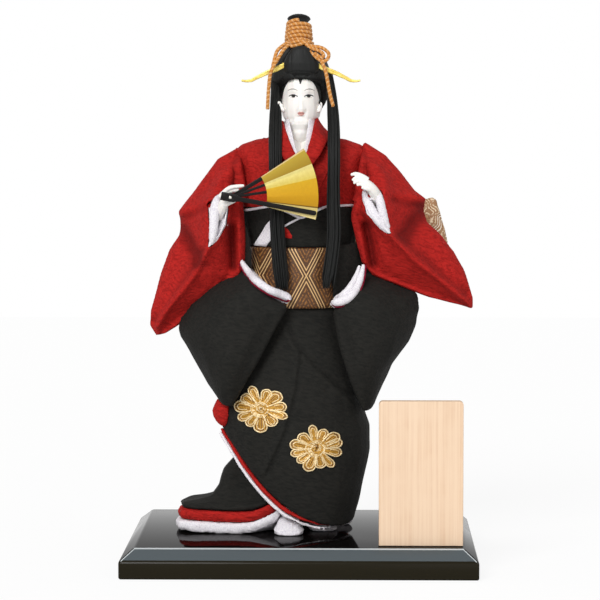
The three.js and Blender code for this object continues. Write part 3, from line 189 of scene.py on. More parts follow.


# Materials

# Tone of the gilt paper at angles round the rivet, pleat by pleat: the light, shade and reflection each pleat
# catches, painted in
FAN_PAINTED_LIGHT = [
    (-15.0, "#e0cf92"), (-7.6, "#d8c478"), (-7.2, "#d8c478"), (-7.0, "#6a4c08"), (-6.3, "#6a4c08"),
    (-6.0, "#b8860a"), (3.0, "#c89608"), (12.7, "#cca014"), (12.9, "#d8c35c"), (22.4, "#e4d88c"),
    (22.6, "#967a1c"), (32.5, "#b49a34"), (32.9, "#e0c890"), (33.4, "#e0c890")]
# Slant of the crepe's crinkles in the front view, in radians
CREPE_SLANT = 1.4
# The sash's lattice in millimetres: half the width of a diamond, its slope and the half width of a gold line
LATTICE_HALF = 32.5
LATTICE_SLOPE = 1.7
LATTICE_LINE = 0.8


def crepe(name, face, deep, grain, depth, stretch=0.28):
    """Silk crepe: overtwisted weft shrinks into crinkles, so it reads matt with a soft sheen."""
    tree = new_material(name)
    place = add_node(tree, "TexCoord", out="Object")
    turned = add_node(tree, "Mapping", {"Vector": place, "Rotation": (0, CREPE_SLANT, 0)})
    drawn = add_node(tree, "Mapping", {"Vector": turned, "Scale": (1, 1, stretch)})
    crinkle = add_node(tree, "TexNoise", {
        "Vector": drawn, "Scale": 1 / grain, "Detail": 2.0, "Roughness": 0.5, "Distortion": 0.7})
    broad = add_node(tree, "TexNoise", {"Vector": place, "Scale": per_mm(32), "Detail": 2.0})
    # The crinkles' low parts take the shaded tone: painted shade in the crinkles, over their real bump
    lit = add_node(tree, "MapRange", {"Value": crinkle, "From Min": 0.32, "From Max": 0.6, "To Min": 0.3})
    worn = add_node(tree, "MapRange", {"Value": broad, "From Min": 0.3, "From Max": 0.7, "To Min": 0.9})
    share = add_node(tree, "Math", {0: lit, 1: worn}, operation="MULTIPLY")
    shade = add_node(tree, "Mix", {0: share, 6: deep, 7: face}, 2, data_type="RGBA")
    # Darker still where the piece lies deep in a fold: painted shade in the folds
    hollow = add_node(tree, "Attribute", out="Fac", attribute_name="fold")
    dim = tuple(0.5 * part for part in deep[:3]) + (1.0,)
    shade = add_node(tree, "Mix", {0: hollow, 6: shade, 7: dim}, 2, data_type="RGBA")
    threads = add_node(tree, "TexVoronoi", {"Vector": place, "Scale": 2.6 / grain}, "Distance")
    fine = add_node(tree, "Bump", {"Height": threads, "Strength": 0.25, "Distance": depth * 0.3})
    raised = add_node(tree, "Bump", {"Height": crinkle, "Strength": 0.9, "Distance": depth, "Normal": fine})
    finish_material(tree, {
        "Base Color": shade, "Roughness": 0.85, "Normal": raised, "Sheen Weight": 0.05,
        "Sheen Roughness": 0.45, "Sheen Tint": face, "Specular IOR Level": 0.2})


def lacquer(name, tone, roughness, index):
    """Urushi lacquer: deep black with a clear polish, which a low index keeps dark at a grazing view."""
    tree = new_material(name)
    place = add_node(tree, "TexCoord", out="Object")
    haze = add_node(tree, "TexNoise", {"Vector": place, "Scale": per_mm(40), "Detail": 3.0})
    rough = add_node(tree, "MapRange", {"Value": haze, "To Min": roughness * 0.7, "To Max": roughness * 1.5})
    wave = add_node(tree, "Bump", {"Height": haze, "Strength": 0.05, "Distance": 0.2 * MM})
    finish_material(tree, {"Base Color": tone, "Roughness": rough, "Normal": wave, "IOR": index})


def bare_wood(name, tone, grain, width):
    """Planed softwood: fine straight grain along the height, matt and a little uneven."""
    tree = new_material(name)
    place = add_node(tree, "TexCoord", out="Object")
    drawn = add_node(tree, "Mapping", {"Vector": place, "Scale": (1, 1, 0.012)})
    rings = add_node(tree, "TexNoise", {"Vector": drawn, "Scale": 1 / width, "Detail": 4.0, "Roughness": 0.6})
    lines = add_node(tree, "MapRange", {"Value": rings, "From Min": 0.42, "From Max": 0.66})
    pores = add_node(tree, "TexNoise", {"Vector": place, "Scale": per_mm(14), "Detail": 2.0})
    share = add_node(tree, "Math", {0: lines, 1: pores}, operation="MULTIPLY")
    shade = add_node(tree, "Mix", {0: share, 6: tone, 7: grain}, 2, data_type="RGBA")
    ridge = add_node(tree, "Bump", {"Height": lines, "Strength": 0.15, "Distance": 0.1 * MM})
    finish_material(tree, {
        "Base Color": shade, "Roughness": 0.62, "Normal": ridge, "Specular IOR Level": 0.3})


def brocade(name, ground, gold, dark, figure):
    """Woven brocade: ribbed ground, nested diamonds in orange and a lattice of fine gold lines."""
    tree = new_material(name)
    weave = add_node(tree, "Attribute", out="Vector", attribute_name="weave")
    across, along = add_node(tree, "SeparateXYZ", {"Vector": weave}).node.outputs[:2]
    away = []
    for slope in (LATTICE_SLOPE, -LATTICE_SLOPE):
        slant = add_node(tree, "Math", {0: across, 1: slope, 2: along}, operation="MULTIPLY_ADD")
        away.append(add_node(tree, "Math", {0: slant, 1: LATTICE_HALF}, operation="PINGPONG"))
    near = add_node(tree, "Math", {0: away[0], 1: away[1]}, operation="MINIMUM")
    middle = add_node(tree, "Math", {0: near, 1: 0.0, 2: LATTICE_LINE}, operation="COMPARE")
    beside = add_node(tree, "Math", {0: near, 1: 4.4, 2: LATTICE_LINE}, operation="COMPARE")
    lines = add_node(tree, "Math", {0: middle, 1: beside}, operation="MAXIMUM")
    nest = add_node(tree, "Math", {0: near, 1: 2.5}, operation="PINGPONG")
    nest = add_node(tree, "MapRange", {"Value": nest, "From Min": 1.6, "From Max": 0.6})
    inside = add_node(tree, "Math", {0: near, 1: 6.0}, operation="GREATER_THAN")
    broken = add_node(tree, "TexNoise", {"Vector": weave, "Scale": 0.55, "Detail": 2.0})
    broken = add_node(tree, "MapRange", {"Value": broken, "From Min": 0.4, "From Max": 0.55})
    for part in (inside, broken):
        nest = add_node(tree, "Math", {0: nest, 1: part}, operation="MULTIPLY")
    rib = add_node(
        tree, "TexWave", {"Vector": weave, "Scale": 0.42, "Distortion": 0.4}, 1, bands_direction="Y")
    shade = add_node(tree, "Mix", {0: rib, 6: dark, 7: ground}, 2, data_type="RGBA")
    for part, tone in ((nest, figure), (lines, gold)):
        shade = add_node(tree, "Mix", {0: part, 6: shade, 7: tone}, 2, data_type="RGBA")
    height = add_node(tree, "Math", {0: nest, 1: lines}, operation="MAXIMUM")
    low = add_node(tree, "Bump", {"Height": rib, "Strength": 0.4, "Distance": 0.15 * MM})
    raised = add_node(tree, "Bump", {"Height": height, "Strength": 0.7, "Distance": 0.3 * MM, "Normal": low})
    finish_material(tree, {
        "Base Color": shade, "Roughness": 0.5, "Metallic": 0.2, "Normal": raised, "Sheen Weight": 0.05})


def silk_hair(name, dark, light):
    """Dressed silk hair: parallel strands on a comb map in mm, with a narrow sheen across them."""
    tree = new_material(name)
    comb = add_node(tree, "Attribute", out="Vector", attribute_name="comb")
    drawn = add_node(tree, "Mapping", {"Vector": comb, "Scale": (1, 0.03, 1)})
    strands = add_node(tree, "TexNoise", {"Vector": drawn, "Scale": 1.3, "Detail": 4.0, "Roughness": 0.7})
    share = add_node(tree, "MapRange", {"Value": strands, "From Min": 0.42, "From Max": 0.75})
    shade = add_node(tree, "Mix", {0: share, 6: dark, 7: light}, 2, data_type="RGBA")
    ridge = add_node(tree, "Bump", {"Height": strands, "Strength": 0.6, "Distance": 0.3 * MM})
    finish_material(tree, {
        "Base Color": shade, "Roughness": 0.55, "Normal": ridge, "Specular IOR Level": 0.22})


def gilt_paper(name, stops):
    """Gilt paper: each pleat of the leaf holds its own tone on a map of angle and reach, its light, shade and
    reflection painted in.
    """
    tree = new_material(name)
    pleat = add_node(tree, "Attribute", out="Vector", attribute_name="pleat")
    angle = add_node(tree, "SeparateXYZ", {"Vector": pleat})
    first, last = stops[0][0], stops[-1][0]
    place = add_node(tree, "MapRange", {"Value": angle, "From Min": first, "From Max": last})
    tones = add_node(tree, "ValToRGB", {"Fac": place})
    elements = tones.node.color_ramp.elements
    while len(elements) < len(stops):
        elements.new(0.5)
    for element, (degrees, tone) in zip(elements, stops):
        element.position = (degrees - first) / (last - first)
        element.color = linear(tone)
    leaf = add_node(tree, "TexNoise", {"Vector": pleat, "Scale": 0.35, "Detail": 4.0, "Roughness": 0.65})
    share = add_node(tree, "MapRange", {"Value": leaf, "From Min": 0.3, "From Max": 0.7, "To Max": 0.25})
    shade = add_node(tree, "Mix", {0: share, 6: tones, 7: linear("#a87a10")}, 2, data_type="RGBA")
    grain = add_node(tree, "Bump", {"Height": leaf, "Strength": 0.15, "Distance": 0.1 * MM})
    finish_material(tree, {
        "Base Color": shade, "Roughness": 0.5, "Metallic": 0.15, "Normal": grain, "Specular IOR Level": 0.25})


def mottled(name, base, over, patch, span, most, relief, finish):
    """Two tones in cloudy patches with a slight relief.

    A patch is its size in millimetres, its detail and its roughness. The span of the cloud runs from the
    base tone to the most of the other one, and the relief is its strength and its height in millimetres."""
    tree = new_material(name)
    place = add_node(tree, "TexCoord", out="Object")
    size, detail, rough = patch
    cloud = add_node(tree, "TexNoise", {
        "Vector": place, "Scale": per_mm(size), "Detail": detail, "Roughness": rough})
    share = add_node(tree, "MapRange", {
        "Value": cloud, "From Min": span[0], "From Max": span[1], "To Max": most})
    shade = add_node(tree, "Mix", {0: share, 6: base, 7: over}, 2, data_type="RGBA")
    strength, height = relief
    ridge = add_node(tree, "Bump", {"Height": cloud, "Strength": strength, "Distance": height * MM})
    finish_material(tree, {"Base Color": shade, "Normal": ridge, **finish})


def make_materials():
    """Makes every material under the name that the pieces ask for."""
    doll = settings()
    cloth, stand, head, fan = doll.cloth, doll.stand, doll.head, doll.fan
    # The second tone of each crepe is its shaded copy, painted shade in its crinkles and folds
    crepe("red crepe", cloth.red[:], cloth.red_shaded[:], cloth.crepe_grain, 0.9 * MM)
    crepe("black crepe", cloth.black[:], cloth.black_shaded[:], cloth.crepe_grain, 0.7 * MM)
    crepe("white silk", cloth.white[:], cloth.white_shaded[:], cloth.silk_grain, 0.35 * MM, 1.0)
    crepe("crimson piping", cloth.edge[:], linear("#5e0a20"), cloth.silk_grain, 0.2 * MM, 1.0)
    crepe("bound straw", linear("#c9b07a"), linear("#9a8250"), cloth.crepe_grain, 0.5 * MM, 0.1)
    brocade("gold brocade", cloth.brocade[:], cloth.brocade_gold[:], cloth.brocade_dark[:], cloth.figure[:])
    brocade("pale brocade", linear("#b58d62"), linear("#f6ead6"), linear("#8a5a3c"), linear("#ecd6b4"))
    lacquer("urushi lacquer", stand.lacquer[:], 0.07, 1.07)
    # Copies of the lacquer paint light onto the stand: the grey bevel is a painted reflection, the pale edge
    # a painted highlight on the rounding of the edges, and the browner upright faces a painted difference of
    # light
    lacquer("urushi lacquer, bevel", linear("#4d5559"), 0.15, 1.3)
    lacquer("urushi lacquer, edge", linear("#c3c9cb"), 0.2, 1.3)
    lacquer("urushi lacquer, side", linear("#1c180b"), 0.2, 1.2)
    lacquer("stick lacquer", fan.lacquer[:], 0.3, 1.25)
    bare_wood("planed cypress", stand.plaque[:], stand.plaque_grain[:], stand.grain_width)
    bare_wood("leg dowel", linear("#d8b98e"), linear("#b98f5c"), stand.grain_width)
    silk_hair("silk hair", head.hair[:], head.hair_light[:])
    gilt_paper("gilt paper", FAN_PAINTED_LIGHT)
    # Polished shell white over wood: an even warm white with a soft satin gloss
    white = head.gofun[:]
    warm = (white[0], white[1] * 0.97, white[2] * 0.94, 1)
    mottled("shell white", white, warm, (9, 2.0, 0.5), (0.0, 1.0), 0.5, (0.05, 0.1), {
        "Roughness": 0.42, "Specular IOR Level": 0.35, "Subsurface Weight": 0.08,
        "Subsurface Radius": (0.6 * MM, 0.4 * MM, 0.3 * MM), "Subsurface Scale": 1.0})
    # Twisted silk cord: one ply of three in the lit tone, a painted highlight wound along the ridges, with
    # fine filaments along each ply
    for name, dark, light in (
            ("gold silk cord", head.cord[:], linear("#d6943f")),
            ("pale silk cord", linear("#cf9250"), head.cord_light[:])):
        mottled(name, dark, light, (0.9, 3.0, 0.7), (0.35, 0.65), 1.0, (0.5, 0.2), {
            "Roughness": 0.5, "Sheen Weight": 0.15, "Specular IOR Level": 0.4})
    # Couched gold thread: wound gold round a core, mottled bright and brown. The lit thread of the loops is a
    # painted highlight, and the ground and the shaded thread under and inside the petals are painted shade
    for name, light, deep in (
            ("gold embroidery ground", cloth.thread_shaded[:], linear("#6a4716")),
            ("deep gold thread", linear("#d2a040"), linear("#94681e")),
            ("gold embroidery thread", cloth.thread[:], linear("#b98a3a"))):
        mottled(name, deep, light, (0.8, 3.0, 0.7), (0.3, 0.6), 1.0, (0.6, 0.2), {
            "Roughness": 0.42, "Metallic": 0.3})
    # Thin metal: gold over brass, silver over brass and turned steel, a little uneven where it is worn
    for name, worn, tone, metallic, roughness in (
            ("gilt brass", linear("#d9bb52"), head.pin[:], 0.6, 0.36),
            ("silvered brass", linear("#c9c4b8"), linear("#e9e6df"), 0.8, 0.3),
            ("screw steel", linear("#77797c"), linear("#9a9c9f"), 1.0, 0.35)):
        mottled(name, worn, tone, (6, 5.0, 0.65), (0.35, 0.65), 1.0, (0.15, 0.1), {
            "Roughness": roughness, "Metallic": metallic})
    # Thin brushed paint: the stroke's own colour, a little paler where the brush ran dry
    for name, tone, thin in (
            ("eye ink", head.ink[:], linear("#1c1613")), ("brow wash", head.brow[:], linear("#a39a92")),
            ("lip red", head.lip[:], linear("#ecccc4")), ("lip shadow", linear("#86403c"), linear("#b06a63")),
            ("lid wash", linear("#b9aaa2"), linear("#d9cec7"))):
        mottled(name, tone, thin, (0.7, 2.0, 0.5), (0.45, 0.8), 0.5, (0.0, 0.1), {"Roughness": 0.5})


# Modelling helpers

def only(piece):
    bpy.ops.object.select_all(action="DESELECT")
    piece.select_set(True)
    bpy.context.view_layer.objects.active = piece
    return piece


def apply(piece, kind, **values):
    """Adds a modifier with its values and applies it."""
    only(piece)
    modifier = piece.modifiers.new(kind.title(), kind)
    for key, value in values.items():
        setattr(modifier, key, value)
    bpy.ops.object.modifier_apply(modifier=modifier.name)
    return piece


def link(name, mesh):
    piece = bpy.data.objects.new(name, mesh)
    bpy.context.scene.collection.objects.link(piece)
    return piece


def edit(piece, step, **values):
    """Runs one editing step on the whole of a piece."""
    only(piece)
    bpy.ops.object.mode_set(mode="EDIT")
    bpy.ops.mesh.select_all(action="SELECT")
    step(**values)
    bpy.ops.object.mode_set(mode="OBJECT")
    return piece


def copy_of(name, node):
    """A new piece with the merged mesh of a solid, which stays as it is."""
    piece = link(name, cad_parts[node].data.copy())
    piece.data.materials.clear()
    return edit(piece, bpy.ops.mesh.remove_doubles, threshold=MERGE_WITHIN)


def soften(piece, step, rounds):
    """Remeshes a solid in small even facets and lets its edges round off, as cloth does."""
    apply(piece, "REMESH", mode="VOXEL", voxel_size=step)
    apply(piece, "SMOOTH", factor=0.5, iterations=rounds)
    return shade(piece)


def shade(piece):
    only(piece)
    bpy.ops.object.shade_smooth()
    return piece


def rounded(piece, width, segments=3, rim=0.0):
    """Dissolves a solid's facets into flat faces and rounds its edges, those within the rim left sharp."""
    only(piece)
    bpy.ops.object.mode_set(mode="EDIT")
    bpy.ops.mesh.select_all(action="SELECT")
    bpy.ops.mesh.dissolve_limited(angle_limit=math.radians(1.0))
    bpy.ops.mesh.select_mode(type="EDGE")
    bpy.ops.mesh.select_all(action="DESELECT")
    bpy.ops.mesh.edges_select_sharp(sharpness=math.radians(25))
    bpy.ops.object.mode_set(mode="OBJECT")
    weights = piece.data.attributes.new("bevel_weight_edge", "FLOAT", "EDGE")
    for edge in piece.data.edges:
        ends = [piece.data.vertices[k].co for k in edge.vertices]
        outside = all(max(abs(end.x), abs(end.y)) >= rim for end in ends)
        weights.data[edge.index].value = float(edge.select and outside)
    apply(piece, "BEVEL", width=width, segments=segments, limit_method="WEIGHT")
    only(piece)
    bpy.ops.object.shade_smooth_by_angle(angle=math.radians(30))
    return piece


def dress(piece, body, slot, material, *nodes):
    """Gives a piece its body, hides the solids it replaces and gives it a material, unless it brings its own.
    The slot is not used.
    """
    if material:
        piece.data.materials.clear()
        piece.data.materials.append(bpy.data.materials[material])
    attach(piece, body)
    if nodes:
        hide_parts(*nodes)
    return piece


def paint_nodes(material, *nodes):
    """Gives solids that stay as they are their finished material."""
    for node in nodes:
        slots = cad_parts[node].data.materials
        slots.clear()
        slots.append(bpy.data.materials[material])


def shift(piece, move):
    """Moves each vertex by the vector that move gives for its place and normal, in millimetres."""
    normals = [v.normal.copy() for v in piece.data.vertices]
    for vertex, normal in zip(piece.data.vertices, normals):
        vertex.co += Vector(move(vertex.co / MM, normal)) * MM
    piece.data.update()
    return piece


def push(piece, move):
    """Moves each vertex along its normal by what move gives for its place and normal, in millimetres."""
    return shift(piece, lambda p, n: n * move(p, n))


def share_of(value, start, end):
    """How far a value lies between two limits, held within 0 and 1."""
    return max(0.0, min(1.0, (value - start) / (end - start)))


def near_line(x, z, line):
    """Distance in the front view from a point to a line of points, in millimetres."""
    best = 1e9
    for (ax, az), (bx, bz) in zip(line, line[1:]):
        dx, dz = bx - ax, bz - az
        along = ((x - ax) * dx + (z - az) * dz) / (dx * dx + dz * dz)
        along = max(0.0, min(1.0, along))
        best = min(best, math.hypot(x - ax - along * dx, z - az - along * dz))
    return best


def fold(piece, folds, sway):
    """Presses folds into the front of a cloth piece. A fold is a line, its height and its half width.

    The front layer and what lies just behind it move together in depth, so the outline stays, and
    each point keeps how deep it lies in a fold, which darkens the cloth's colour there as painted shade."""
    tree = surface_of(piece)
    normals = [v.normal.copy() for v in piece.data.vertices]
    fold_shading = piece.data.attributes.new("fold", "FLOAT", "POINT")
    for vertex, normal, depth in zip(piece.data.vertices, normals, fold_shading.data):
        p = vertex.co / MM
        total = 0.0
        for line, height, width in folds:
            away = near_line(p.x, p.z, line) / width
            if away < 2.5:
                total += height * math.exp(-away * away)
        if total:
            behind = p.y - front_of(tree, p.x, p.z).y
            share = share_of(behind, 12, 4)
            vertex.co.y -= total * MM * share
            # How deep the point lies in a fold, which darkens the cloth there as painted shade
            depth.value = max(0.0, min(0.75, -total * share / 7))
        vertex.co += normal * (sway * MM * noise.noise(p / 17))
    piece.data.update()
    return piece


def map_vertices(piece, name, where):
    """Stores a vector in millimetres on each vertex, for a pattern that follows the surface."""
    attribute = piece.data.attributes.new(name, "FLOAT_VECTOR", "POINT")
    for vertex, item in zip(piece.data.vertices, attribute.data):
        item.vector = where(vertex.co / MM)
    return piece


def smooth_line(stations, step):
    """Points about a step apart on a smooth curve through some stations, all in millimetres."""
    points = [Vector(station) for station in stations]
    ends = [2 * points[0] - points[1], *points, 2 * points[-1] - points[-2]]
    fine = []
    for i in range(1, len(ends) - 2):
        p0, p1, p2, p3 = ends[i - 1:i + 3]
        for k in range(CURVE_STEPS):
            t = k / CURVE_STEPS
            fine.append(0.5 * (2 * p1 + (p2 - p0) * t + (2 * p0 - 5 * p1 + 4 * p2 - p3) * t * t
                               + (3 * p1 - p0 - 3 * p2 + p3) * t ** 3))
    fine.append(points[-1].copy())
    reach = [0.0]
    for a, b in zip(fine, fine[1:]):
        reach.append(reach[-1] + (b - a).length)
    count = max(2, round(reach[-1] / step))
    line, at = [], 0
    for k in range(count + 1):
        goal = reach[-1] * k / count
        while at + 2 < len(reach) and reach[at + 1] < goal:
            at += 1
        line.append(fine[at].lerp(fine[at + 1], (goal - reach[at]) / (reach[at + 1] - reach[at])))
    return line


def even(line, share=1.0):
    """A strand of one thickness along a line."""
    return line, [share] * len(line)


def tapered(stations, step):
    """A smooth strand through stations that hold a place and a radius."""
    line = smooth_line(stations, step)
    return [Vector(p[:3]) for p in line], [p[3] for p in line]


def swelling(p, middle, size):
    """A swelling round a point of the front view, 1 in its middle, that fades over its size."""
    return math.exp(-((p.x - middle[0]) / size[0]) ** 2 - ((p.z - middle[1]) / size[1]) ** 2)


def tubes(name, lines, radius, resolution=1):
    """One mesh of round strands, each a line of points in millimetres with its share of the radius."""
    curve = bpy.data.curves.new(name, "CURVE")
    curve.dimensions = "3D"
    curve.bevel_depth = radius * MM
    curve.bevel_resolution = resolution
    curve.use_fill_caps = True
    for line, shares in lines:
        spline = curve.splines.new("POLY")
        spline.points.add(len(line) - 1)
        for dot, place, share in zip(spline.points, line, shares):
            dot.co = (*(place * MM), 1)
            dot.radius = share
    only(link(name, curve))
    bpy.ops.object.convert(target="MESH")
    return shade(bpy.context.view_layer.objects.active)


def plies(line, diameter, pitch, count=3):
    """The centre lines of a cord's plies, wound round its own line."""
    made = [[] for _ in range(count)]
    side = Vector((1, 0, 0)) if abs((line[1] - line[0]).normalized().x) < 0.8 else Vector((0, 1, 0))
    reach = 0.0
    for i, place in enumerate(line):
        tangent = (line[min(i + 1, len(line) - 1)] - line[max(i - 1, 0)]).normalized()
        side = (side - tangent * side.dot(tangent)).normalized()
        across = tangent.cross(side)
        if i:
            reach += (place - line[i - 1]).length
        for k, ply in enumerate(made):
            turn = 2 * math.pi * (reach / pitch + k / count)
            ply.append(place + (side * math.cos(turn) + across * math.sin(turn)) * diameter * 0.25)
    return made


def cord(name, points, diameter, pitch):
    """A twisted cord of three plies along a smooth line."""
    line = smooth_line(points, 0.5)
    parts = []
    for k, ply in enumerate(plies(line, diameter, pitch)):
        part = tubes(f"{name}_{k}", [even(ply)], diameter * 0.27)
        # One ply takes the lit cord tone, a painted highlight that winds along the cord
        part.data.materials.append(bpy.data.materials["gold silk cord" if k else "pale silk cord"])
        parts.append(part)
    return joined(name, parts), line


def surface_of(*pieces):
    """A tree of some pieces' faces for looking up their surface."""
    points, faces = [], []
    for piece in pieces:
        start = len(points)
        points.extend(v.co.copy() for v in piece.data.vertices)
        faces.extend([start + i for i in p.vertices] for p in piece.data.polygons)
    return BVHTree.FromPolygons(points, faces)


def front_of(tree, x, z, lift=0.0):
    """The point in millimetres on the front of a surface at x and z, lifted off it along its normal."""
    place, normal, _, _ = tree.ray_cast(mm(x, -300, z), Vector((0, 1, 0)))
    if place is None:
        place, normal, _, _ = tree.find_nearest(mm(x, -60, z))
    if normal.y > 0:
        normal = -normal
    return (place + normal * lift * MM) / MM


def grid(name, rows):
    """A sheet of faces over rows of points in millimetres."""
    wide = len(rows[0])
    points = [p * MM for row in rows for p in row]
    faces = [
        (r * wide + c, r * wide + c + 1, (r + 1) * wide + c + 1, (r + 1) * wide + c)
        for r in range(len(rows) - 1) for c in range(wide - 1)]
    mesh = bpy.data.meshes.new(name)
    mesh.from_pydata(points, [], faces)
    return link(name, mesh)


def joined(name, parts):
    bpy.ops.object.select_all(action="DESELECT")
    for part in parts:
        part.select_set(True)
    bpy.context.view_layer.objects.active = parts[0]
    bpy.ops.object.join()
    piece = bpy.context.view_layer.objects.active
    piece.name = name
    return piece


def ball(place, radii):
    """A rounded lump for modelling, joined and remeshed later."""
    bpy.ops.object.select_all(action="DESELECT")
    bpy.ops.mesh.primitive_uv_sphere_add(
        segments=16, ring_count=10, radius=MM, location=mm(*place), scale=radii)
    bpy.ops.object.transform_apply(location=True, rotation=True, scale=True)
    return bpy.context.view_layer.objects.active


def sheet_of(name, rows, thick):
    """A layer of cloth or paint over rows of points, of a thickness in millimetres."""
    piece = edit(grid(name, rows), bpy.ops.mesh.normals_make_consistent, inside=False)
    apply(piece, "SOLIDIFY", thickness=thick * MM, offset=0)
    return shade(piece)


def ribbon(name, tree, stations, rows, lift, thick):
    """A thin layer on a surface, between a low and a high edge given at stations along x."""
    sheet = [
        [front_of(tree, x, mix(low, high, r / rows), lift) for x, low, high in stations]
        for r in range(rows + 1)]
    return sheet_of(name, sheet, thick)


# Stage

CAMERA_PLACE = (40.0, -2201.5, 355.0)
CAMERA_AIM = (-1.0, 0.0, 202.1)
CAMERA_LENS = 169.4
SUNS = [("key_sun", (-0.4, -1.0, 0.62), 2.1, 26), ("fill_sun", (0.8, -1.0, 0.2), 0.6, 60)]
AMBIENT = 0.38


def seen_rays(tree):
    """Is 1 for rays that show the white background: from the camera, reflected or through glass."""
    path = add_node(tree, "LightPath").node.outputs
    seen = path["Is Camera Ray"]
    for kind in ("Is Glossy Ray", "Is Transmission Ray"):
        seen = add_node(tree, "Math", {0: seen, 1: path[kind]}, operation="MAXIMUM")
    return seen


class DOLL_OT_stage(bpy.types.Operator):
    """Makes the camera, the floor, the world and the lamps"""
    bl_idname = "doll.stage"
    bl_label = "Stage"

    def execute(self, context):
        scene = context.scene
        scene.view_settings.view_transform = "Standard"
        place, aim = mm(*CAMERA_PLACE), mm(*CAMERA_AIM)
        turn = (aim - place).to_track_quat("-Z", "Y").to_euler()
        bpy.ops.object.camera_add(location=place, rotation=turn)
        camera = context.object
        camera.data.lens = CAMERA_LENS
        camera.data.sensor_width = 36
        camera.data.clip_end = 50
        scene.camera = camera
        for name, away, strength, angle in SUNS:
            turn = Vector(away).to_track_quat("Z", "Y").to_euler()
            bpy.ops.object.light_add(type="SUN", location=Vector(away), rotation=turn)
            lamp = context.object
            lamp.name = name
            lamp.data.energy = strength
            lamp.data.angle = math.radians(angle)
        self.make_world(scene)
        self.make_floor()
        return {"FINISHED"}

    def make_world(self, scene):
        world = bpy.data.worlds.new("studio")
        world.use_nodes = True
        tree = world.node_tree
        tree.nodes.clear()
        seen = seen_rays(tree)
        strength = add_node(tree, "MapRange", {"Value": seen, "To Min": AMBIENT, "To Max": 1.0})
        sky = add_node(tree, "Background", {"Color": (1, 1, 1, 1), "Strength": strength})
        add_node(tree, "OutputWorld", {"Surface": sky})
        scene.world = world

    def make_floor(self):
        bpy.ops.mesh.primitive_plane_add(size=5, location=(0, 0, -0.3 * MM))
        floor = bpy.context.object
        floor.name = "floor"
        tree = new_material("white sweep")
        seen = seen_rays(tree)
        share = add_node(tree, "Math", {0: seen, 1: 0.85}, operation="MULTIPLY")
        paper = add_node(tree, "BsdfDiffuse", {"Color": (0.9, 0.9, 0.9, 1)})
        glow = add_node(tree, "Emission", {"Color": (1, 1, 1, 1), "Strength": 1.04})
        both = add_node(tree, "MixShader", {0: share, 1: paper, 2: glow})
        add_node(tree, "OutputMaterial", {"Surface": both})
        floor.data.materials.append(bpy.data.materials["white sweep"])


# Cords of the topknot, on the routes of their solids

TIE_CORD = 3.0
CORD_PITCH = 3.4
CORD_ROUTES = {
    "cord_tail_right": [
        (-9.5, -12, 400.5), (-13.5, -15, 396.5), (-17.5, -18, 390), (-21.2, -20.5, 383.7),
        (-23.6, -20.5, 377.5), (-25.0, -18, 365), (-25.8, -15.5, 351.3)],
    "cord_tail_left": [
        (15.5, -18.5, 388.5), (18.5, -20.5, 382), (20.2, -21.5, 375), (21.6, -22, 367), (23.2, -22.5, 359.5),
        (25, -23.5, 353.4)],
    "cord_bow": [
        (3.5, -13.5, 400.2), (10.3, -15, 399.3), (16.5, -16, 398), (21.3, -17.5, 394), (20.6, -18.5, 389.6),
        (16.5, -19, 387.9), (10.3, -18, 392.2), (4, -16, 397.8)],
}
# The knot under the binding: turns that cross its front, the second loop of the bow and the second strand
KNOT_ROUTES = [
    [(-11, -6, 400.5), (-6, -11, 402.5), (0, -12.5, 403.5), (4, -12.2, 401.8), (6, -12.5, 399.4)],
    [(9, -5, 401.5), (6, -10.5, 402.5), (1, -13.5, 401.5), (-4, -14, 400), (-8, -13, 399.5)],
    [(5, -14.5, 398.6), (11, -16.5, 396.9), (15.6, -17.5, 395), (17.6, -18.5, 392.3), (15.6, -19.3, 390.6),
     (10.5, -19, 394)],
    [(-10, -9, 402.5), (-14, -11, 400), (-18.3, -14.5, 395.8), (-20.2, -17, 390), (-21.5, -18.5, 384.5)],
]
TOPKNOT_FOOT = (-2.0, 1.0, 400.0)
TOPKNOT_LEAN = math.radians(20)
TOPKNOT_RADIUS = 6.4
WINDING_CORD = 2.9
WINDING_PITCH = 3.9
WINDING_TURNS = 5
TURN_STEPS = 24
# Two turns at the foot of the topknot, under the winding
RING_LEVELS = (0.2, 2.6)


def on_topknot(reach, turn, z):
    """A point round the topknot's own axis, which leans back, in millimetres."""
    x, y = reach * math.sin(turn), -reach * math.cos(turn)
    lean, rise = math.sin(TOPKNOT_LEAN), math.cos(TOPKNOT_LEAN)
    return Vector(TOPKNOT_FOOT) + Vector((x, y * rise + z * lean, z * rise - y * lean))


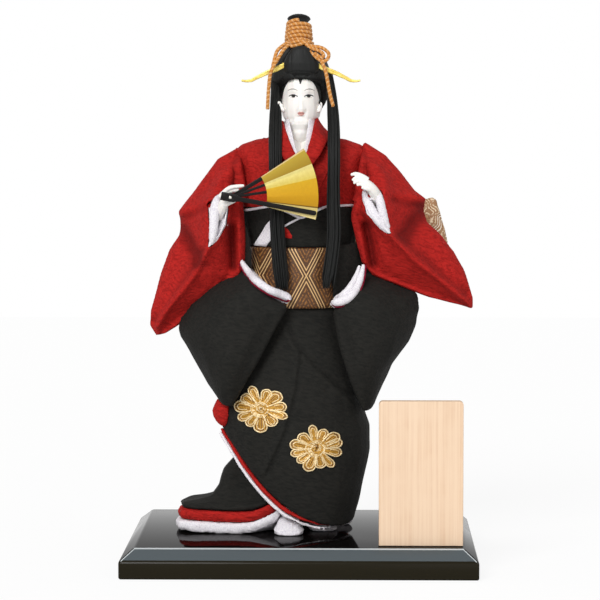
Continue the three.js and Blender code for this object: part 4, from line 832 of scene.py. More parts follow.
class DOLL_OT_cords(bpy.types.Operator):
    """Twists the gold cord round the topknot and lets its tails and bow hang"""
    bl_idname = "doll.cords"
    bl_label = "Topknot cords"

    def execute(self, context):
        for name, route in CORD_ROUTES.items():
            piece, line = cord("gold_" + name, route, TIE_CORD, CORD_PITCH)
            dress(piece, "head", "gold_cord", None, name)
        high = WINDING_PITCH * WINDING_TURNS
        points = []
        for k in range(WINDING_TURNS * TURN_STEPS + 1):
            share = k / (WINDING_TURNS * TURN_STEPS)
            z = WINDING_CORD / 2 + 0.4 + share * (high - WINDING_CORD)
            swell = 1.4 * max(0.0, z / 5 if z < 5 else 1 - (z - 5) / (high - 5))
            reach = TOPKNOT_RADIUS + swell + WINDING_CORD / 2 + 0.45
            turn = share * WINDING_TURNS * 2 * math.pi
            points.append(on_topknot(reach, turn, z))
        piece, _ = cord("gold_winding", points, WINDING_CORD * 1.12, CORD_PITCH)
        dress(piece, "head", "gold_cord", None, "topknot_cord")
        reach = TOPKNOT_RADIUS + WINDING_CORD / 2 + 0.8
        turns = [2 * math.pi * k / TURN_STEPS for k in range(1 - TURN_STEPS // 2, 1 + TURN_STEPS // 2)]
        rings = [[on_topknot(reach, turn, z) for turn in turns] for z in RING_LEVELS]
        parts = [cord("tie", route, TIE_CORD, CORD_PITCH)[0] for route in [*KNOT_ROUTES, *rings]]
        dress(joined("gold_knot", parts), "head", "gold_cord", None)
        return {"FINISHED"}


# Stand, plaque and feet

# The screw holes lie nearer to the middle than this
STAND_RIM = 85 * MM

# Faces smaller than this are the rounding of an edge
EDGE_AREA = 8e-4

# What lies under the clothes, and its cover
STUFFING = {
    "skirt_form": "red crepe", "body_core": "bound straw", "arm_right": "red crepe", "arm_left": "red crepe",
}


class DOLL_OT_stand(bpy.types.Operator):
    """Makes the lacquered stand with softly rounded edges"""
    bl_idname = "doll.stand"
    bl_label = "Stand"

    def execute(self, context):
        board = rounded(copy_of("lacquered_stand", "base_board"), settings().stand.edge_round, rim=STAND_RIM)
        dress(board, "doll", "black_lacquer", "urushi lacquer", "base_board")
        for kind in ("bevel", "edge", "side"):
            board.data.materials.append(bpy.data.materials["urushi lacquer, " + kind])
        # By the way a face points: the bevel takes the grey lacquer, a painted reflection, the narrow faces
        # rounding its edges the pale one, a painted highlight, and the upright faces the browner one, painted
        # light
        for face in board.data.polygons:
            narrow = face.area < EDGE_AREA
            if abs(face.normal.z) < (0.65 if narrow else 0.3):
                face.material_index = 3
            elif 0.3 < face.normal.z < 0.97 and abs(face.normal.x) < 0.3:
                face.material_index = 2 if narrow else 1
        paint_nodes("screw steel", "leg_screw_right", "leg_screw_left")
        paint_nodes("leg dowel", "leg_right", "leg_left")
        for node, cover in STUFFING.items():
            dress(soften(copy_of("stuffed_" + node, node), 1.2 * MM, 4), "doll", "straw", cover, node)
        return {"FINISHED"}


class DOLL_OT_plaque(bpy.types.Operator):
    """Makes the plain wooden plaque"""
    bl_idname = "doll.plaque"
    bl_label = "Plaque"

    def execute(self, context):
        board = rounded(copy_of("plain_plaque", "name_plaque"), 0.5 * MM, 2)
        dress(board, "plaque", "plaque_wood", "planed cypress", "name_plaque")
        return {"FINISHED"}


class DOLL_OT_feet(bpy.types.Operator):
    """Makes the feet in their split-toed socks"""
    bl_idname = "doll.feet"
    bl_label = "Feet"

    def execute(self, context):
        for side in ("right", "left"):
            foot = soften(copy_of(f"sock_{side}", f"tabi_{side}"), 0.4 * MM, 3)
            shift(foot, self.fill)
            dress(foot, "doll", "white_cloth", "white silk", f"tabi_{side}")
        return {"FINISHED"}

    def fill(self, p, normal):
        """Fills the sock out below the ankle, and sets it back under the hem."""
        return Vector((normal.x, normal.y, 0)) * (2.2 * share_of(p.z, 30, 24)) + Vector((0, 7, 0))


# Skirt, hems, train and embroidery

SKIRT_FOLDS = [
    ([(-12, 180), (-4, 166), (12, 149), (28.6, 134), (41, 124)], 1.2, 2.6),
    ([(-9, 182), (-0.5, 168), (15.5, 151.5), (32, 137), (44, 127)], -1.5, 1.8),
    ([(1, 164), (-2, 137), (-10.4, 104.5), (-24.7, 71.7)], -1.5, 1.6),
    ([(-2, 164), (-5.2, 137), (-13.6, 104), (-27.8, 72)], 1.1, 2.6),
    ([(24, 188), (32, 160), (44, 138)], -0.9, 4.0),
    ([(32, 128), (38, 100), (40, 70)], -1.1, 5.0),
    ([(-22, 178), (-34, 150), (-46, 124)], -0.8, 4.5),
    ([(20, 120), (26, 80), (28, 40)], 0.8, 7.0),
]


class DOLL_OT_skirt(bpy.types.Operator):
    """Drapes the black skirt with its red and white hems, the train and the lining flap"""
    bl_idname = "doll.skirt"
    bl_label = "Skirt and train"

    def execute(self, context):
        step = settings().cloth.voxel
        skirt = soften(copy_of("crepe_skirt", "skirt"), step, 12)
        fold(skirt, SKIRT_FOLDS, 0.5)
        shift(skirt, lambda p, n: self.lift(p, 0.0))
        dress(skirt, "doll", "black_crepe", "black crepe", "skirt")
        train = soften(copy_of("crepe_train", "train"), step, 10)
        push(train, self.spread)
        dress(train, "doll", "black_crepe", "black crepe", "train")
        for node, slot, material in [
                ("skirt_hem_red", "red_crepe", "red crepe"), ("skirt_hem_white", "white_cloth", "white silk"),
                ("train_hem_red", "red_crepe", "red crepe"),
                ("train_hem_white", "white_cloth", "white silk")]:
            wide = node.startswith("train")
            hem = soften(copy_of("padded_" + node, node), (1.0 if wide else 0.6) * MM, 5 if wide else 3)
            push(hem, self.quilt if wide else self.taper)
            if not wide:
                hide = 4.2 if "red" in node else 1.8
                shift(hem, lambda p, n: self.lift(p, hide))
            dress(hem, "doll", slot, material, node)
        flap = soften(copy_of("red_flap", "lining_flap"), 0.8 * MM, 6)
        dress(flap, "doll", "red_crepe", "red crepe", "lining_flap")
        return {"FINISHED"}

    def spread(self, p, normal):
        """Folds that run outward over the train, and its fullness on the side of the fan."""
        ripple = 0.9 * math.sin(math.atan2(p.x + 5, p.y - 2) * 13) * max(0.0, normal.z)
        full = math.exp(-((p.z - 68) / 16) ** 2) * max(0.0, -normal.x) if p.x < -40 else 0.0
        return ripple + 3.0 * full

    def lift(self, p, hide):
        """Raises the lowest edge, and draws a hem up behind it where it thins out to the right."""
        raised = 2.6 * math.exp(-((p.z - 26) / 16) ** 2)
        thin = hide * share_of(p.x, -14, 26)
        return (0.5 * thin, 0.5 * thin, raised + 0.8 * thin)

    def quilt(self, p, normal):
        """Padded silk puckers where it is sewn."""
        return 0.5 * noise.noise(p / 2.0) + 0.4 * noise.noise(p / 7)

    def taper(self, p, normal):
        """The hem of the wrap thins out where it runs up under the overlap."""
        thin = share_of(p.x, -8, 28)
        return 0.3 * noise.noise(p / 2.2) + 0.2 * noise.noise(p / 6) - 1.3 * thin


FLOWERS = [(-30.0, 121.0, 11), (12.5, 91.0, 12)]
FLOWER_WIDE = 21.0
FLOWER_TALL = 17.5
PETAL_ROOT = 4.6
HEART_THREADS = 90
THREAD = 0.62
STITCH = 0.7


class DOLL_OT_flowers(bpy.types.Operator):
    """Embroiders the chrysanthemums on the skirt in loops of raised gold thread"""
    bl_idname = "doll.flowers"
    bl_label = "Chrysanthemums"

    def execute(self, context):
        tree = surface_of(bpy.data.objects["crepe_skirt"])
        for number, (x, z, petals) in enumerate(FLOWERS, 1):
            ground, loops, fill = [], [], []
            draw = random.Random(number)
            for k in range(petals):
                edge = self.petal(k, petals)
                rows = [[Vector((e.x, e.y * t)) for t in (-1.0, -0.5, 0.0, 0.5, 1.0)] for e in edge]
                turn = 2 * math.pi * k / petals + 0.2 + draw.uniform(-0.09, 0.09)
                rows = [[self.lay(tree, x, z, p, turn, 0.35) for p in row] for row in rows]
                ground.append(grid("petal", rows))
                whole = edge + [Vector((a, -b)) for a, b in reversed(edge[:-1])]
                line = [self.lay(tree, x, z, p, turn, 0.8) for p in whole]
                loops.append(even(smooth_line(line, STITCH)))
                small = [Vector((mix(p.x, 0.62 * FLOWER_WIDE, 0.3), 0.55 * p.y)) for p in whole[3:-3]]
                line = [self.lay(tree, x, z, p, turn, 0.7) for p in small]
                loops.append(even(smooth_line(line, STITCH), 0.7))
                for across in (-0.75, -0.3, 0.0, 0.3, 0.75):
                    ray = [Vector((e.x - 0.8, e.y * across + draw.uniform(-0.3, 0.3))) for e in edge[::3]]
                    line = [self.lay(tree, x, z, p, turn, 0.6) for p in ray]
                    fill.append(even(smooth_line(line, STITCH), 0.7))
            for k in range(HEART_THREADS):
                a, out = draw.uniform(0, 2 * math.pi), draw.uniform(1.0, 8.5)
                dots = [Vector((out * math.cos(a + b), out * math.sin(a + b))) for b in (0.0, 0.45, 0.9)]
                line = [self.lay(tree, x, z, p, 0.0, draw.uniform(0.5, 1.2)) for p in dots]
                (loops if k % 2 else fill).append(even(smooth_line(line, STITCH), 0.75))
            turns = [math.pi * k / 12 for k in range(25)]
            disc = [[Vector((r * math.cos(a), r * math.sin(a))) for a in turns] for r in (0.1, 3.0, 6.0, 8.5)]
            ground.append(grid("heart", [[self.lay(tree, x, z, p, 0.0, 0.45) for p in row] for row in disc]))
            # The ground under the threads takes the shaded thread tone, a painted shade in the gaps between
            # them
            sheet = joined(f"petal_ground_{number}", ground)
            apply(sheet, "SOLIDIFY", thickness=0.3 * MM, offset=0)
            dress(shade(sheet), "doll", "brocade", "gold embroidery ground")
            # The outline loops take the lit thread, a painted highlight, and the threads inside the petals
            # the shaded one, a painted shade
            for name, lines, material in (
                    ("chrysanthemum", loops, "gold embroidery thread"),
                    ("petal_thread", fill, "deep gold thread")):
                dress(tubes(f"{name}_{number}", lines, THREAD, 1), "doll", "brocade", material)
        return {"FINISHED"}

    def petal(self, k, petals):
        """One side of a petal from root to tip."""
        reach = FLOWER_WIDE * (0.95 + 0.08 * math.sin(k * 2.6))
        half = FLOWER_WIDE * math.sin(math.pi / petals) * (0.72 + 0.16 * math.sin(k * 1.7))
        side = []
        for i in range(11):
            s = i / 10
            if s > 0.7:
                bulge = math.sqrt(max(0.0, 1 - ((s - 0.7) / 0.3) ** 2))
            else:
                bulge = mix(0.36, 1.0, (s / 0.7) ** 0.8)
            side.append(Vector((mix(PETAL_ROOT, reach, s), half * bulge)))
        return side

    def lay(self, tree, x, z, dot, turn, lift):
        """Puts a point of the flower's flat drawing on the skirt."""
        a = dot.x * math.cos(turn) - dot.y * math.sin(turn)
        b = dot.x * math.sin(turn) + dot.y * math.cos(turn)
        return front_of(tree, x + a, z + b * FLOWER_TALL / FLOWER_WIDE, lift)


# Bodice, collars, belts and bow

BODICE_FOLDS = [
    ([(-30, 322), (-20, 296), (-14, 280)], -0.8, 3.5), ([(30, 322), (34, 300), (36, 282)], -0.8, 3.5)]
# The bodice's cloth under the collars: x with its low and high edge, for both sides
UNDER_COLLAR = [
    (-0.5, 280, 308), (3, 280, 308.5), (7, 280, 310), (12, 284, 316), (17, 294, 326), (22, 306, 332),
    (26, 316, 333), (30, 321, 332)]


class DOLL_OT_bodice(bpy.types.Operator):
    """Makes the red bodice, the two collars and the white bust"""
    bl_idname = "doll.bodice"
    bl_label = "Bodice and collars"

    def execute(self, context):
        bodice = soften(copy_of("crepe_bodice", "bodice"), settings().cloth.voxel, 8)
        fold(bodice, BODICE_FOLDS, 0.3)
        push(bodice, lambda p, n: 4.0 * abs(n.x) * math.exp(-((p.z - 279) / 8) ** 2))
        dress(bodice, "doll", "red_crepe", "red crepe", "bodice")
        inner = soften(copy_of("white_collar", "inner_collar"), 0.5 * MM, 4)
        shift(inner, self.tuck)
        dress(inner, "doll", "white_cloth", "white silk", "inner_collar")
        outer = soften(copy_of("red_collar", "outer_collar"), 0.5 * MM, 4)
        push(outer, lambda p, n: 0.5 if n.z < 0.35 else 0.15)
        shift(outer, self.widen)
        apply(outer, "SMOOTH", factor=0.5, iterations=3)
        shift(outer, self.tuck)
        dress(outer, "doll", "red_crepe", "red crepe", "outer_collar")
        tree = surface_of(bodice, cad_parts["body_core"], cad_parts["bust"])
        for side, sign in (("right", -1), ("left", 1)):
            points = smooth_line([(sign * x, low, high) for x, low, high in UNDER_COLLAR], 1.0)
            layer = ribbon(f"red_underlap_{side}", tree, points, 12, 0.5, 0.5)
            dress(layer, "doll", "red_crepe", "red crepe")
        bust = soften(copy_of("white_bust", "bust"), 0.7 * MM, 5)
        dress(bust, "doll", "white_gofun", "shell white", "bust")
        return {"FINISHED"}

    def widen(self, p, normal):
        """Draws the outer edge of the red collar further over the bodice."""
        out = math.copysign(1.0, p.x)
        if normal.x * out - normal.z > 0.9 and p.y < 0:
            return (2.2 * out, -0.3, -1.8)
        return (0, 0, 0)

    def tuck(self, p, normal):
        """Draws the upper part of a collar in round the neck, and higher on the side away from the fan."""
        high = share_of(p.z, 316, 338)
        inward = (6.0 if p.x > 0 else 3.5) * high * min(1.0, abs(p.x) / 8)
        return (-math.copysign(inward, p.x), 0, (3.5 if p.x > 0 else 1.5) * share_of(p.z, 327, 340))


# Stations of the slipped-down kimono beside the sash: x, y and its low and high edge
DRAPES = {
    "left": [
        (25, -33.6, 206, 222), (28, -33, 208, 247), (36, -28.5, 214, 247), (43, -21, 220, 248),
        (50, -12, 220, 246), (60, -6, 212, 240)],
    "right": [
        (-60, -6, 212, 240), (-50, -12, 222, 262), (-44, -20, 225, 264), (-41, -24, 223, 258),
        (-37.5, -27.5, 222, 234)],
}
# Layers that show at the waist: x with its low and high edge
WAIST_LAYERS = [
    ("white_strip", "white_cloth", "white silk", [(-14, 259.6, 261.2), (-7, 263.4, 265.2), (0, 267, 268.6)]),
    ("red_tuck", "red_crepe", "red crepe",
     [(-15, 255, 262), (-12, 253, 261), (-9, 252, 258), (-6.5, 252, 254)]),
    ("white_wedge", "white_cloth", "white silk", [
        (-36, 245.8, 246.6), (-30, 245.6, 256), (-26.5, 245.4, 262), (-23, 250, 266)]),
]
PIPING_PATH = [
    (-44, 273), (-40, 273.3), (-23, 275.5), (-12, 273), (0, 268), (6, 270.5), (13, 273.6), (20, 275.6),
    (32, 277), (42, 276.6)]


class DOLL_OT_belts(bpy.types.Operator):
    """Winds the brocade sash and the black band with its white piping"""
    bl_idname = "doll.belts"
    bl_label = "Sash and band"

    def execute(self, context):
        sash = soften(copy_of("brocade_sash", "obi"), 1.0 * MM, 4)
        map_vertices(sash, "weave", lambda p: (math.atan2(p.x - 4.5, -p.y) * 38, p.z - 223, 0))
        dress(sash, "doll", "brocade", "gold brocade", "obi")
        band = soften(copy_of("black_band", "waist_band"), 1.0 * MM, 4)
        dress(band, "doll", "black_crepe", "black crepe", "waist_band")
        tree = surface_of(band, bpy.data.objects["crepe_bodice"])
        front = [front_of(tree, p.x, p.y, 0.6) for p in smooth_line(PIPING_PATH, 2.0)]
        back = []
        for k in range(1, 12):
            turn = math.pi * k / 12
            back.append(Vector((44 * math.cos(turn), 33 * math.sin(turn), mix(276.6, 273, k / 12))))
        line = smooth_line([*front, *back, front[0]], 1.2)
        piping = tubes("white_piping", [even(line)], 1.0, 2)
        dress(piping, "doll", "white_cloth", "white silk", "waist_piping")
        for side, stations in DRAPES.items():
            self.drape(f"crepe_drape_{side}", stations)
        for name, slot, material, stations in WAIST_LAYERS:
            fine = []
            for a, b in zip(stations, stations[1:]):
                fine.extend(tuple(mix(u, v, k / 6) for u, v in zip(a, b)) for k in range(6))
            dress(ribbon(name, tree, [*fine, stations[-1]], 6, 0.4, 0.5), "doll", slot, material)
        return {"FINISHED"}

    def drape(self, name, stations):
        """The slipped-down kimono beside the sash, on a curve that stands off it toward the sleeve."""
        rows = []
        for r in range(9):
            row = []
            for a, b in zip(stations, stations[1:]):
                for k in range(4):
                    x, y, low, high = (mix(u, v, k / 4) for u, v in zip(a, b))
                    row.append(Vector((x, y, mix(low, high, r / 8))))
            rows.append(row)
        dress(sheet_of(name, rows, 0.9), "doll", "black_crepe", "black crepe")


# Sets where the swirls of the bow's brocade lie
BOW_SEED = 5


class DOLL_OT_bow(bpy.types.Operator):
    """Ties the brocade bow at the back"""
    bl_idname = "doll.bow"
    bl_label = "Bow"

    def execute(self, context):
        noise.seed_set(BOW_SEED)
        for node in ("obi_knot", "obi_tail", "obi_loop_right", "obi_loop_left"):
            piece = soften(copy_of("brocade_" + node[4:], node), 1.1 * MM, 5)
            push(piece, lambda p, n: 0.4 * noise.noise(p / 9))
            if node == "obi_knot":
                push(piece, lambda p, n: 4.0 * max(0.0, -n.y))
            shift(piece, lambda p, n: (-0.1 * max(0.0, p.x - 90), 0, 0))
            map_vertices(
                piece, "weave", lambda p: Vector((p.x, p.z - 205, 0)) + 5 * noise.noise_vector(p / 7))
            dress(piece, "doll", "brocade", "pale brocade", node)
        return {"FINISHED"}


# Sleeves

RIGHT_FOLDS = [
    ([(-95, 265.5), (-82, 270), (-70, 276)], -3.2, 2.6),
    ([(-97, 271), (-82, 277), (-68, 283)], 3.0, 4.0),
    ([(-92, 258), (-86, 249), (-81, 240), (-77.5, 232)], -6.0, 5.5),
    ([(-76, 266), (-76, 254)], 2.0, 6.0),
    ([(-70, 244.6), (-77.6, 229.2), (-94.5, 207.8), (-111.3, 183.2)], 2.6, 2.2),
    ([(-75, 243), (-82, 230), (-98, 210), (-114, 187)], -2.4, 2.8),
    ([(-99, 238), (-104, 216), (-109, 197)], 2.2, 7.0),
    ([(-54.6, 261), (-53.6, 246), (-52.4, 229)], -5.5, 3.0),
    ([(-48, 260), (-47.3, 234)], 2.2, 2.6),
    ([(-61, 240), (-60, 226)], 1.8, 4.5),
    ([(-46, 326), (-52, 308), (-53, 288)], -2.6, 2.6),
    ([(-52, 326), (-61, 310), (-65, 296)], 1.5, 4.5),
]
LEFT_FOLDS = [
    ([(66, 289), (80, 285.5), (99, 284)], 3.0, 3.6),
    ([(72, 281), (84, 277.5), (97, 276)], -3.4, 2.8),
    ([(94, 271), (87, 264), (82, 255)], -6.0, 6.5),
    ([(69, 254.5), (85.8, 236.1), (101.2, 223.8), (131.8, 197.8)], 2.6, 2.2),
    ([(76, 254), (89, 242), (104, 229.5), (128, 209)], -2.8, 3.4),
    ([(104, 252), (114, 236), (125, 218)], 2.2, 7.0),
    ([(50.5, 262), (53.6, 248), (56, 231)], -6.0, 3.2),
    ([(57.5, 256), (61.5, 243), (65, 231)], 2.2, 3.2),
    ([(45.5, 262), (47.5, 246), (49.5, 233)], 1.8, 2.6),
    ([(46, 327), (51, 310), (53, 292)], -2.6, 2.6),
    ([(51, 327), (60, 312), (66, 298)], 1.5, 4.5),
]
# How far beside a roll the sleeve's surface is looked up
RIM_REACH = 7.5
# Middle lines of the white rolls: x, z and radius
RIGHT_RIMS = [
    [(-61.6, 286, 1.6), (-64.6, 281, 3.4), (-66.2, 273.5, 4.0), (-65.8, 262, 3.6), (-67.2, 252, 2.8),
     (-68.6, 246.4, 1.2)],
    [(-53.6, 277, 1.4), (-56, 270, 3.2), (-60, 260.5, 3.4), (-65, 251.5, 2.6), (-68, 246.8, 1.2)]]
LEFT_RIMS = [
    [(48.2, 290, 1.4), (50.2, 283.6, 3.2), (53.2, 275.6, 3.8), (57.8, 268.4, 3.6), (63, 261.4, 3.0),
     (68.6, 255.4, 1.2)],
    [(57.6, 291.6, 1.6), (60.6, 284, 3.0), (62, 276, 3.3), (63.8, 268, 3.0), (67, 260, 2.2),
     (69, 255.6, 1.0)]]


class DOLL_OT_sleeves(bpy.types.Operator):
    """Hangs the red sleeves with the white rolls round their hand openings"""
    bl_idname = "doll.sleeves"
    bl_label = "Red sleeves"

    def execute(self, context):
        for side, folds, rims in (("right", RIGHT_FOLDS, RIGHT_RIMS), ("left", LEFT_FOLDS, LEFT_RIMS)):
            sleeve = soften(copy_of(f"crepe_sleeve_{side}", f"sleeve_{side}"), 1.0 * MM, 8)
            fold(sleeve, folds, 0.6)
            apply(sleeve, "SMOOTH", factor=0.5, iterations=1)
            dress(sleeve, "doll", "red_crepe", "red crepe", f"sleeve_{side}")
            lining = soften(copy_of(f"silk_lining_{side}", f"sleeve_lining_{side}"), 0.5 * MM, 3)
            dress(lining, "doll", "white_cloth", "white silk", f"sleeve_lining_{side}")
            if side == "right":
                push(sleeve, lambda p, n: 5.5 * max(0.0, -n.z) * swelling(p, (-73, 210), (17, 12)))
            push(sleeve, self.shoulder)
            tree = surface_of(sleeve)
            lines = []
            for rim, aside in zip(rims, (-RIM_REACH, RIM_REACH)):
                dots = []
                for x, z, _ in rim:
                    beside = [front_of(tree, x + aside * k, z).y for k in (0.5, 0.7, 0.9, 1.1)]
                    dots.append(Vector((x, min(beside) - 1.0, z)))
                dots = [(a + 2 * b + c) / 4 for a, b, c in zip([dots[0], *dots], dots, [*dots[1:], dots[-1]])]
                lines.append(tapered([(*p, r) for p, (_, _, r) in zip(dots, rim)], 0.8))
            roll = tubes(f"silk_rim_{side}", lines, 1.0, 3)
            push(roll, lambda p, n: 0.35 * noise.noise(p / 2))
            dress(roll, "doll", "white_cloth", "white silk")
        return {"FINISHED"}

    def shoulder(self, p, normal):
        """Draws the upper sleeve in toward the bodice."""
        near = p.z > 280 and abs(p.x) < 58
        return 2.4 * max(0.0, -normal.x * p.x / abs(p.x)) if near else 0.0


# Middle lines of the padded cuffs: x, z and radius
CUFF_PATHS = {
    "right": [
        [(-47.5, 237, 0.8), (-45, 232.5, 1.9), (-39.2, 224.8, 2.8), (-33, 219.4, 3.0), (-23, 213, 3.1),
         (-15, 209.4, 3.3), (-9.6, 206.8, 2.9), (-8, 206, 0.8)]],
    "left": [
        [(48.4, 232, 1.2), (46.4, 223, 2.4), (43.2, 215, 3.1), (38.6, 208.8, 3.6), (33, 205.2, 3.8),
         (28, 203.8, 3.3), (25.4, 203.6, 2.0), (24.6, 203.6, 0.6)],
        [(45.4, 231, 1.0), (42, 222, 2.0), (37.6, 214.6, 2.4), (32.6, 209.4, 2.4), (28, 206.6, 1.8),
         (26, 206, 0.6)]],
}
LOWERED_FOLDS = {
    "right": [
        ([(-40, 212), (-52, 180), (-58, 140)], 0.9, 7.0), ([(-62, 200), (-76, 172), (-70, 140)], -1.0, 7.0),
        ([(-24, 190), (-38, 160), (-50, 132)], -0.9, 5.0)],
    "left": [
        ([(44, 205), (54, 176), (54, 140)], 0.9, 7.0), ([(62, 202), (72, 180), (64, 148)], -1.0, 7.0),
        ([(32, 192), (38, 162), (46, 132)], -0.9, 5.0)],
}


class DOLL_OT_lowered(bpy.types.Operator):
    """Hangs the black sleeves at the hips with their padded white cuffs and crimson piping"""
    bl_idname = "doll.lowered"
    bl_label = "Lowered sleeves"

    def execute(self, context):
        for side in ("right", "left"):
            sleeve = copy_of(f"crepe_lowered_{side}", f"lowered_sleeve_{side}")
            soften(sleeve, settings().cloth.voxel, 10)
            fold(sleeve, LOWERED_FOLDS[side], 0.6)
            if side == "left":
                push(sleeve, lambda p, n: 6.0 * max(0.0, n.x) * swelling(p, (85, 206), (9, 9)))
            dress(sleeve, "doll", "black_crepe", "black crepe", f"lowered_sleeve_{side}")
            cuff = soften(copy_of(f"silk_mouth_{side}", f"lowered_cuff_{side}"), 0.8 * MM, 4)
            tree = surface_of(sleeve, cuff)
            push(cuff, lambda p, n: -0.8)
            shift(cuff, lambda p, n: (0, mix(9.0, 14.0, share_of(abs(p.x), 36, 44)), 0))
            lines = []
            for path in CUFF_PATHS[side]:
                dots = []
                for x, z, r in reversed(path):
                    if abs(x) < 40:
                        y = front_of(tree, x, z, 0.4).y
                        last = (abs(x), y)
                    else:
                        y = last[1] + 0.95 * (abs(x) - last[0])
                    dots.append(Vector((x, y, z, r)))
                lines.append(tapered(dots, 0.8))
            roll = tubes(f"cuff_roll_{side}", lines, 1.0, 3)
            whole = joined(f"padded_cuff_{side}", [cuff, roll])
            push(whole, lambda p, n: 0.35 * noise.noise(p / 2.2))
            dress(whole, "doll", "white_cloth", "white silk", f"lowered_cuff_{side}")
            low = self.beside(*lines[0], math.copysign(1.0, CUFF_PATHS[side][0][0][0]))
            edge = tubes(f"crimson_edge_{side}", [even(low)], 0.9, 2)
            dress(edge, "doll", "red_crepe", "crimson piping")
        return {"FINISHED"}

    def beside(self, line, shares, sign):
        """The line along the outer side of a roll, a little behind its middle."""
        made = []
        for i, (place, share) in enumerate(zip(line, shares)):
            along = line[min(i + 1, len(line) - 1)] - line[max(i - 1, 0)]
            out = Vector((-along.z, 0, along.x)).normalized()
            if out.x * sign * 0.7 - out.z < 0:
                out = -out
            made.append(place + out * (share + 0.35) + Vector((0, 0.3 * share, 0)))
        return made


# Hands

# Lines of each hand: x, y, z and radius from the wrist to the fingertips
HANDS = {
    "right": [
        [(-63, -34, 268, 3.2), (-61, -39.5, 273, 3.6), (-58.8, -43.5, 278, 3.9), (-56.6, -45.8, 282.6, 3.6),
         (-54.6, -46.4, 285, 2.6)],
        [(-60, -44.5, 278, 2.6), (-57, -46, 278.8, 2.4), (-53.5, -46.6, 280, 1.9), (-50.6, -46.8, 281, 1.5),
         (-48.6, -46.8, 281.6, 1.1)],
        [(-61, -45.6, 284, 2.4), (-57.4, -47, 288.2, 2.0), (-53.2, -48, 291.2, 1.8), (-48, -48.4, 292.2, 1.6),
         (-44, -48.4, 292.7, 1.2), (-42.6, -48.3, 292.9, 0.8)],
        [(-58, -46, 286, 2.0), (-53, -46.6, 288.8, 1.9), (-49.5, -46.8, 289.4, 1.7),
         (-46.6, -46.7, 289.2, 1.4)],
    ],
    "left": [
        [(60, -31, 279, 4.2), (58.4, -37.5, 283.6, 4.4), (56.8, -41.4, 287.2, 4.3), (54.6, -44, 290.2, 4.1),
         (51.6, -45.8, 293.4, 3.7), (49, -46.5, 295.5, 3.0)],
        [(51.5, -45.8, 297.2, 2.2), (47.6, -46.6, 299.8, 1.9), (43.6, -47, 301.5, 1.7),
         (40.6, -47, 301.6, 1.4), (38.6, -46.8, 300.9, 0.9)],
        [(50.5, -46.4, 295.6, 2.2), (46.8, -47.4, 298, 1.8), (43.4, -47.8, 298.8, 1.6), (41, -47.8, 298, 1.3),
         (39.9, -47.6, 296.6, 0.9)],
        [(50.3, -46.8, 294, 2.1), (47, -47.8, 296, 1.7), (44, -48.1, 296.4, 1.5), (41.8, -48, 295.4, 1.2),
         (40.8, -47.8, 294.4, 0.8)],
        [(50.6, -46.8, 292.4, 2.0), (47.8, -47.8, 293.8, 1.6), (45.2, -48, 294, 1.4),
         (43.2, -47.9, 293.2, 1.0)],
        [(54, -46, 289.8, 2.1), (51.4, -47.6, 290.4, 1.8), (48.8, -48.4, 291.2, 1.5),
         (46.8, -48.6, 291.8, 1.1)],
    ],
}


class DOLL_OT_hands(bpy.types.Operator):
    """Models the two white hands with their fingers"""
    bl_idname = "doll.hands"
    bl_label = "Hands"

    def execute(self, context):
        for side, paths in HANDS.items():
            hand = tubes(f"white_hand_{side}", [tapered(path, 0.5) for path in paths], 1.0, 3)
            soften(hand, 0.3 * MM, 6)
            dress(hand, "doll", "white_gofun", "shell white", f"hand_{side}")
        return {"FINISHED"}


# Fan

FAN_RIVET = (-53.0, -50.8, 284.0)
LEAF_INNER = 28.0
LEAF_OUTER = 67.0
LEAF_STATIONS = [
    [(-14.6, -53.1), (-8.2, -53.2), (1.0, -53.3), (8.4, -52.8)],
    [(8.4, -52.8), (12.8, -52.5), (17.0, -52.5), (20.0, -52.3)],
    [(20.0, -52.3), (22.5, -52.5), (28.0, -52.2), (33.3, -52.0), (33.7, -49.7)],
]
LEAF_BODIES = ["doll", "fan_rib_1", "fan_rib_2", "fan_guard_rear"]


def on_fan(angle, reach, y):
    turn = math.radians(angle)
    return Vector((FAN_RIVET[0] + reach * math.cos(turn), y, FAN_RIVET[2] + reach * math.sin(turn)))


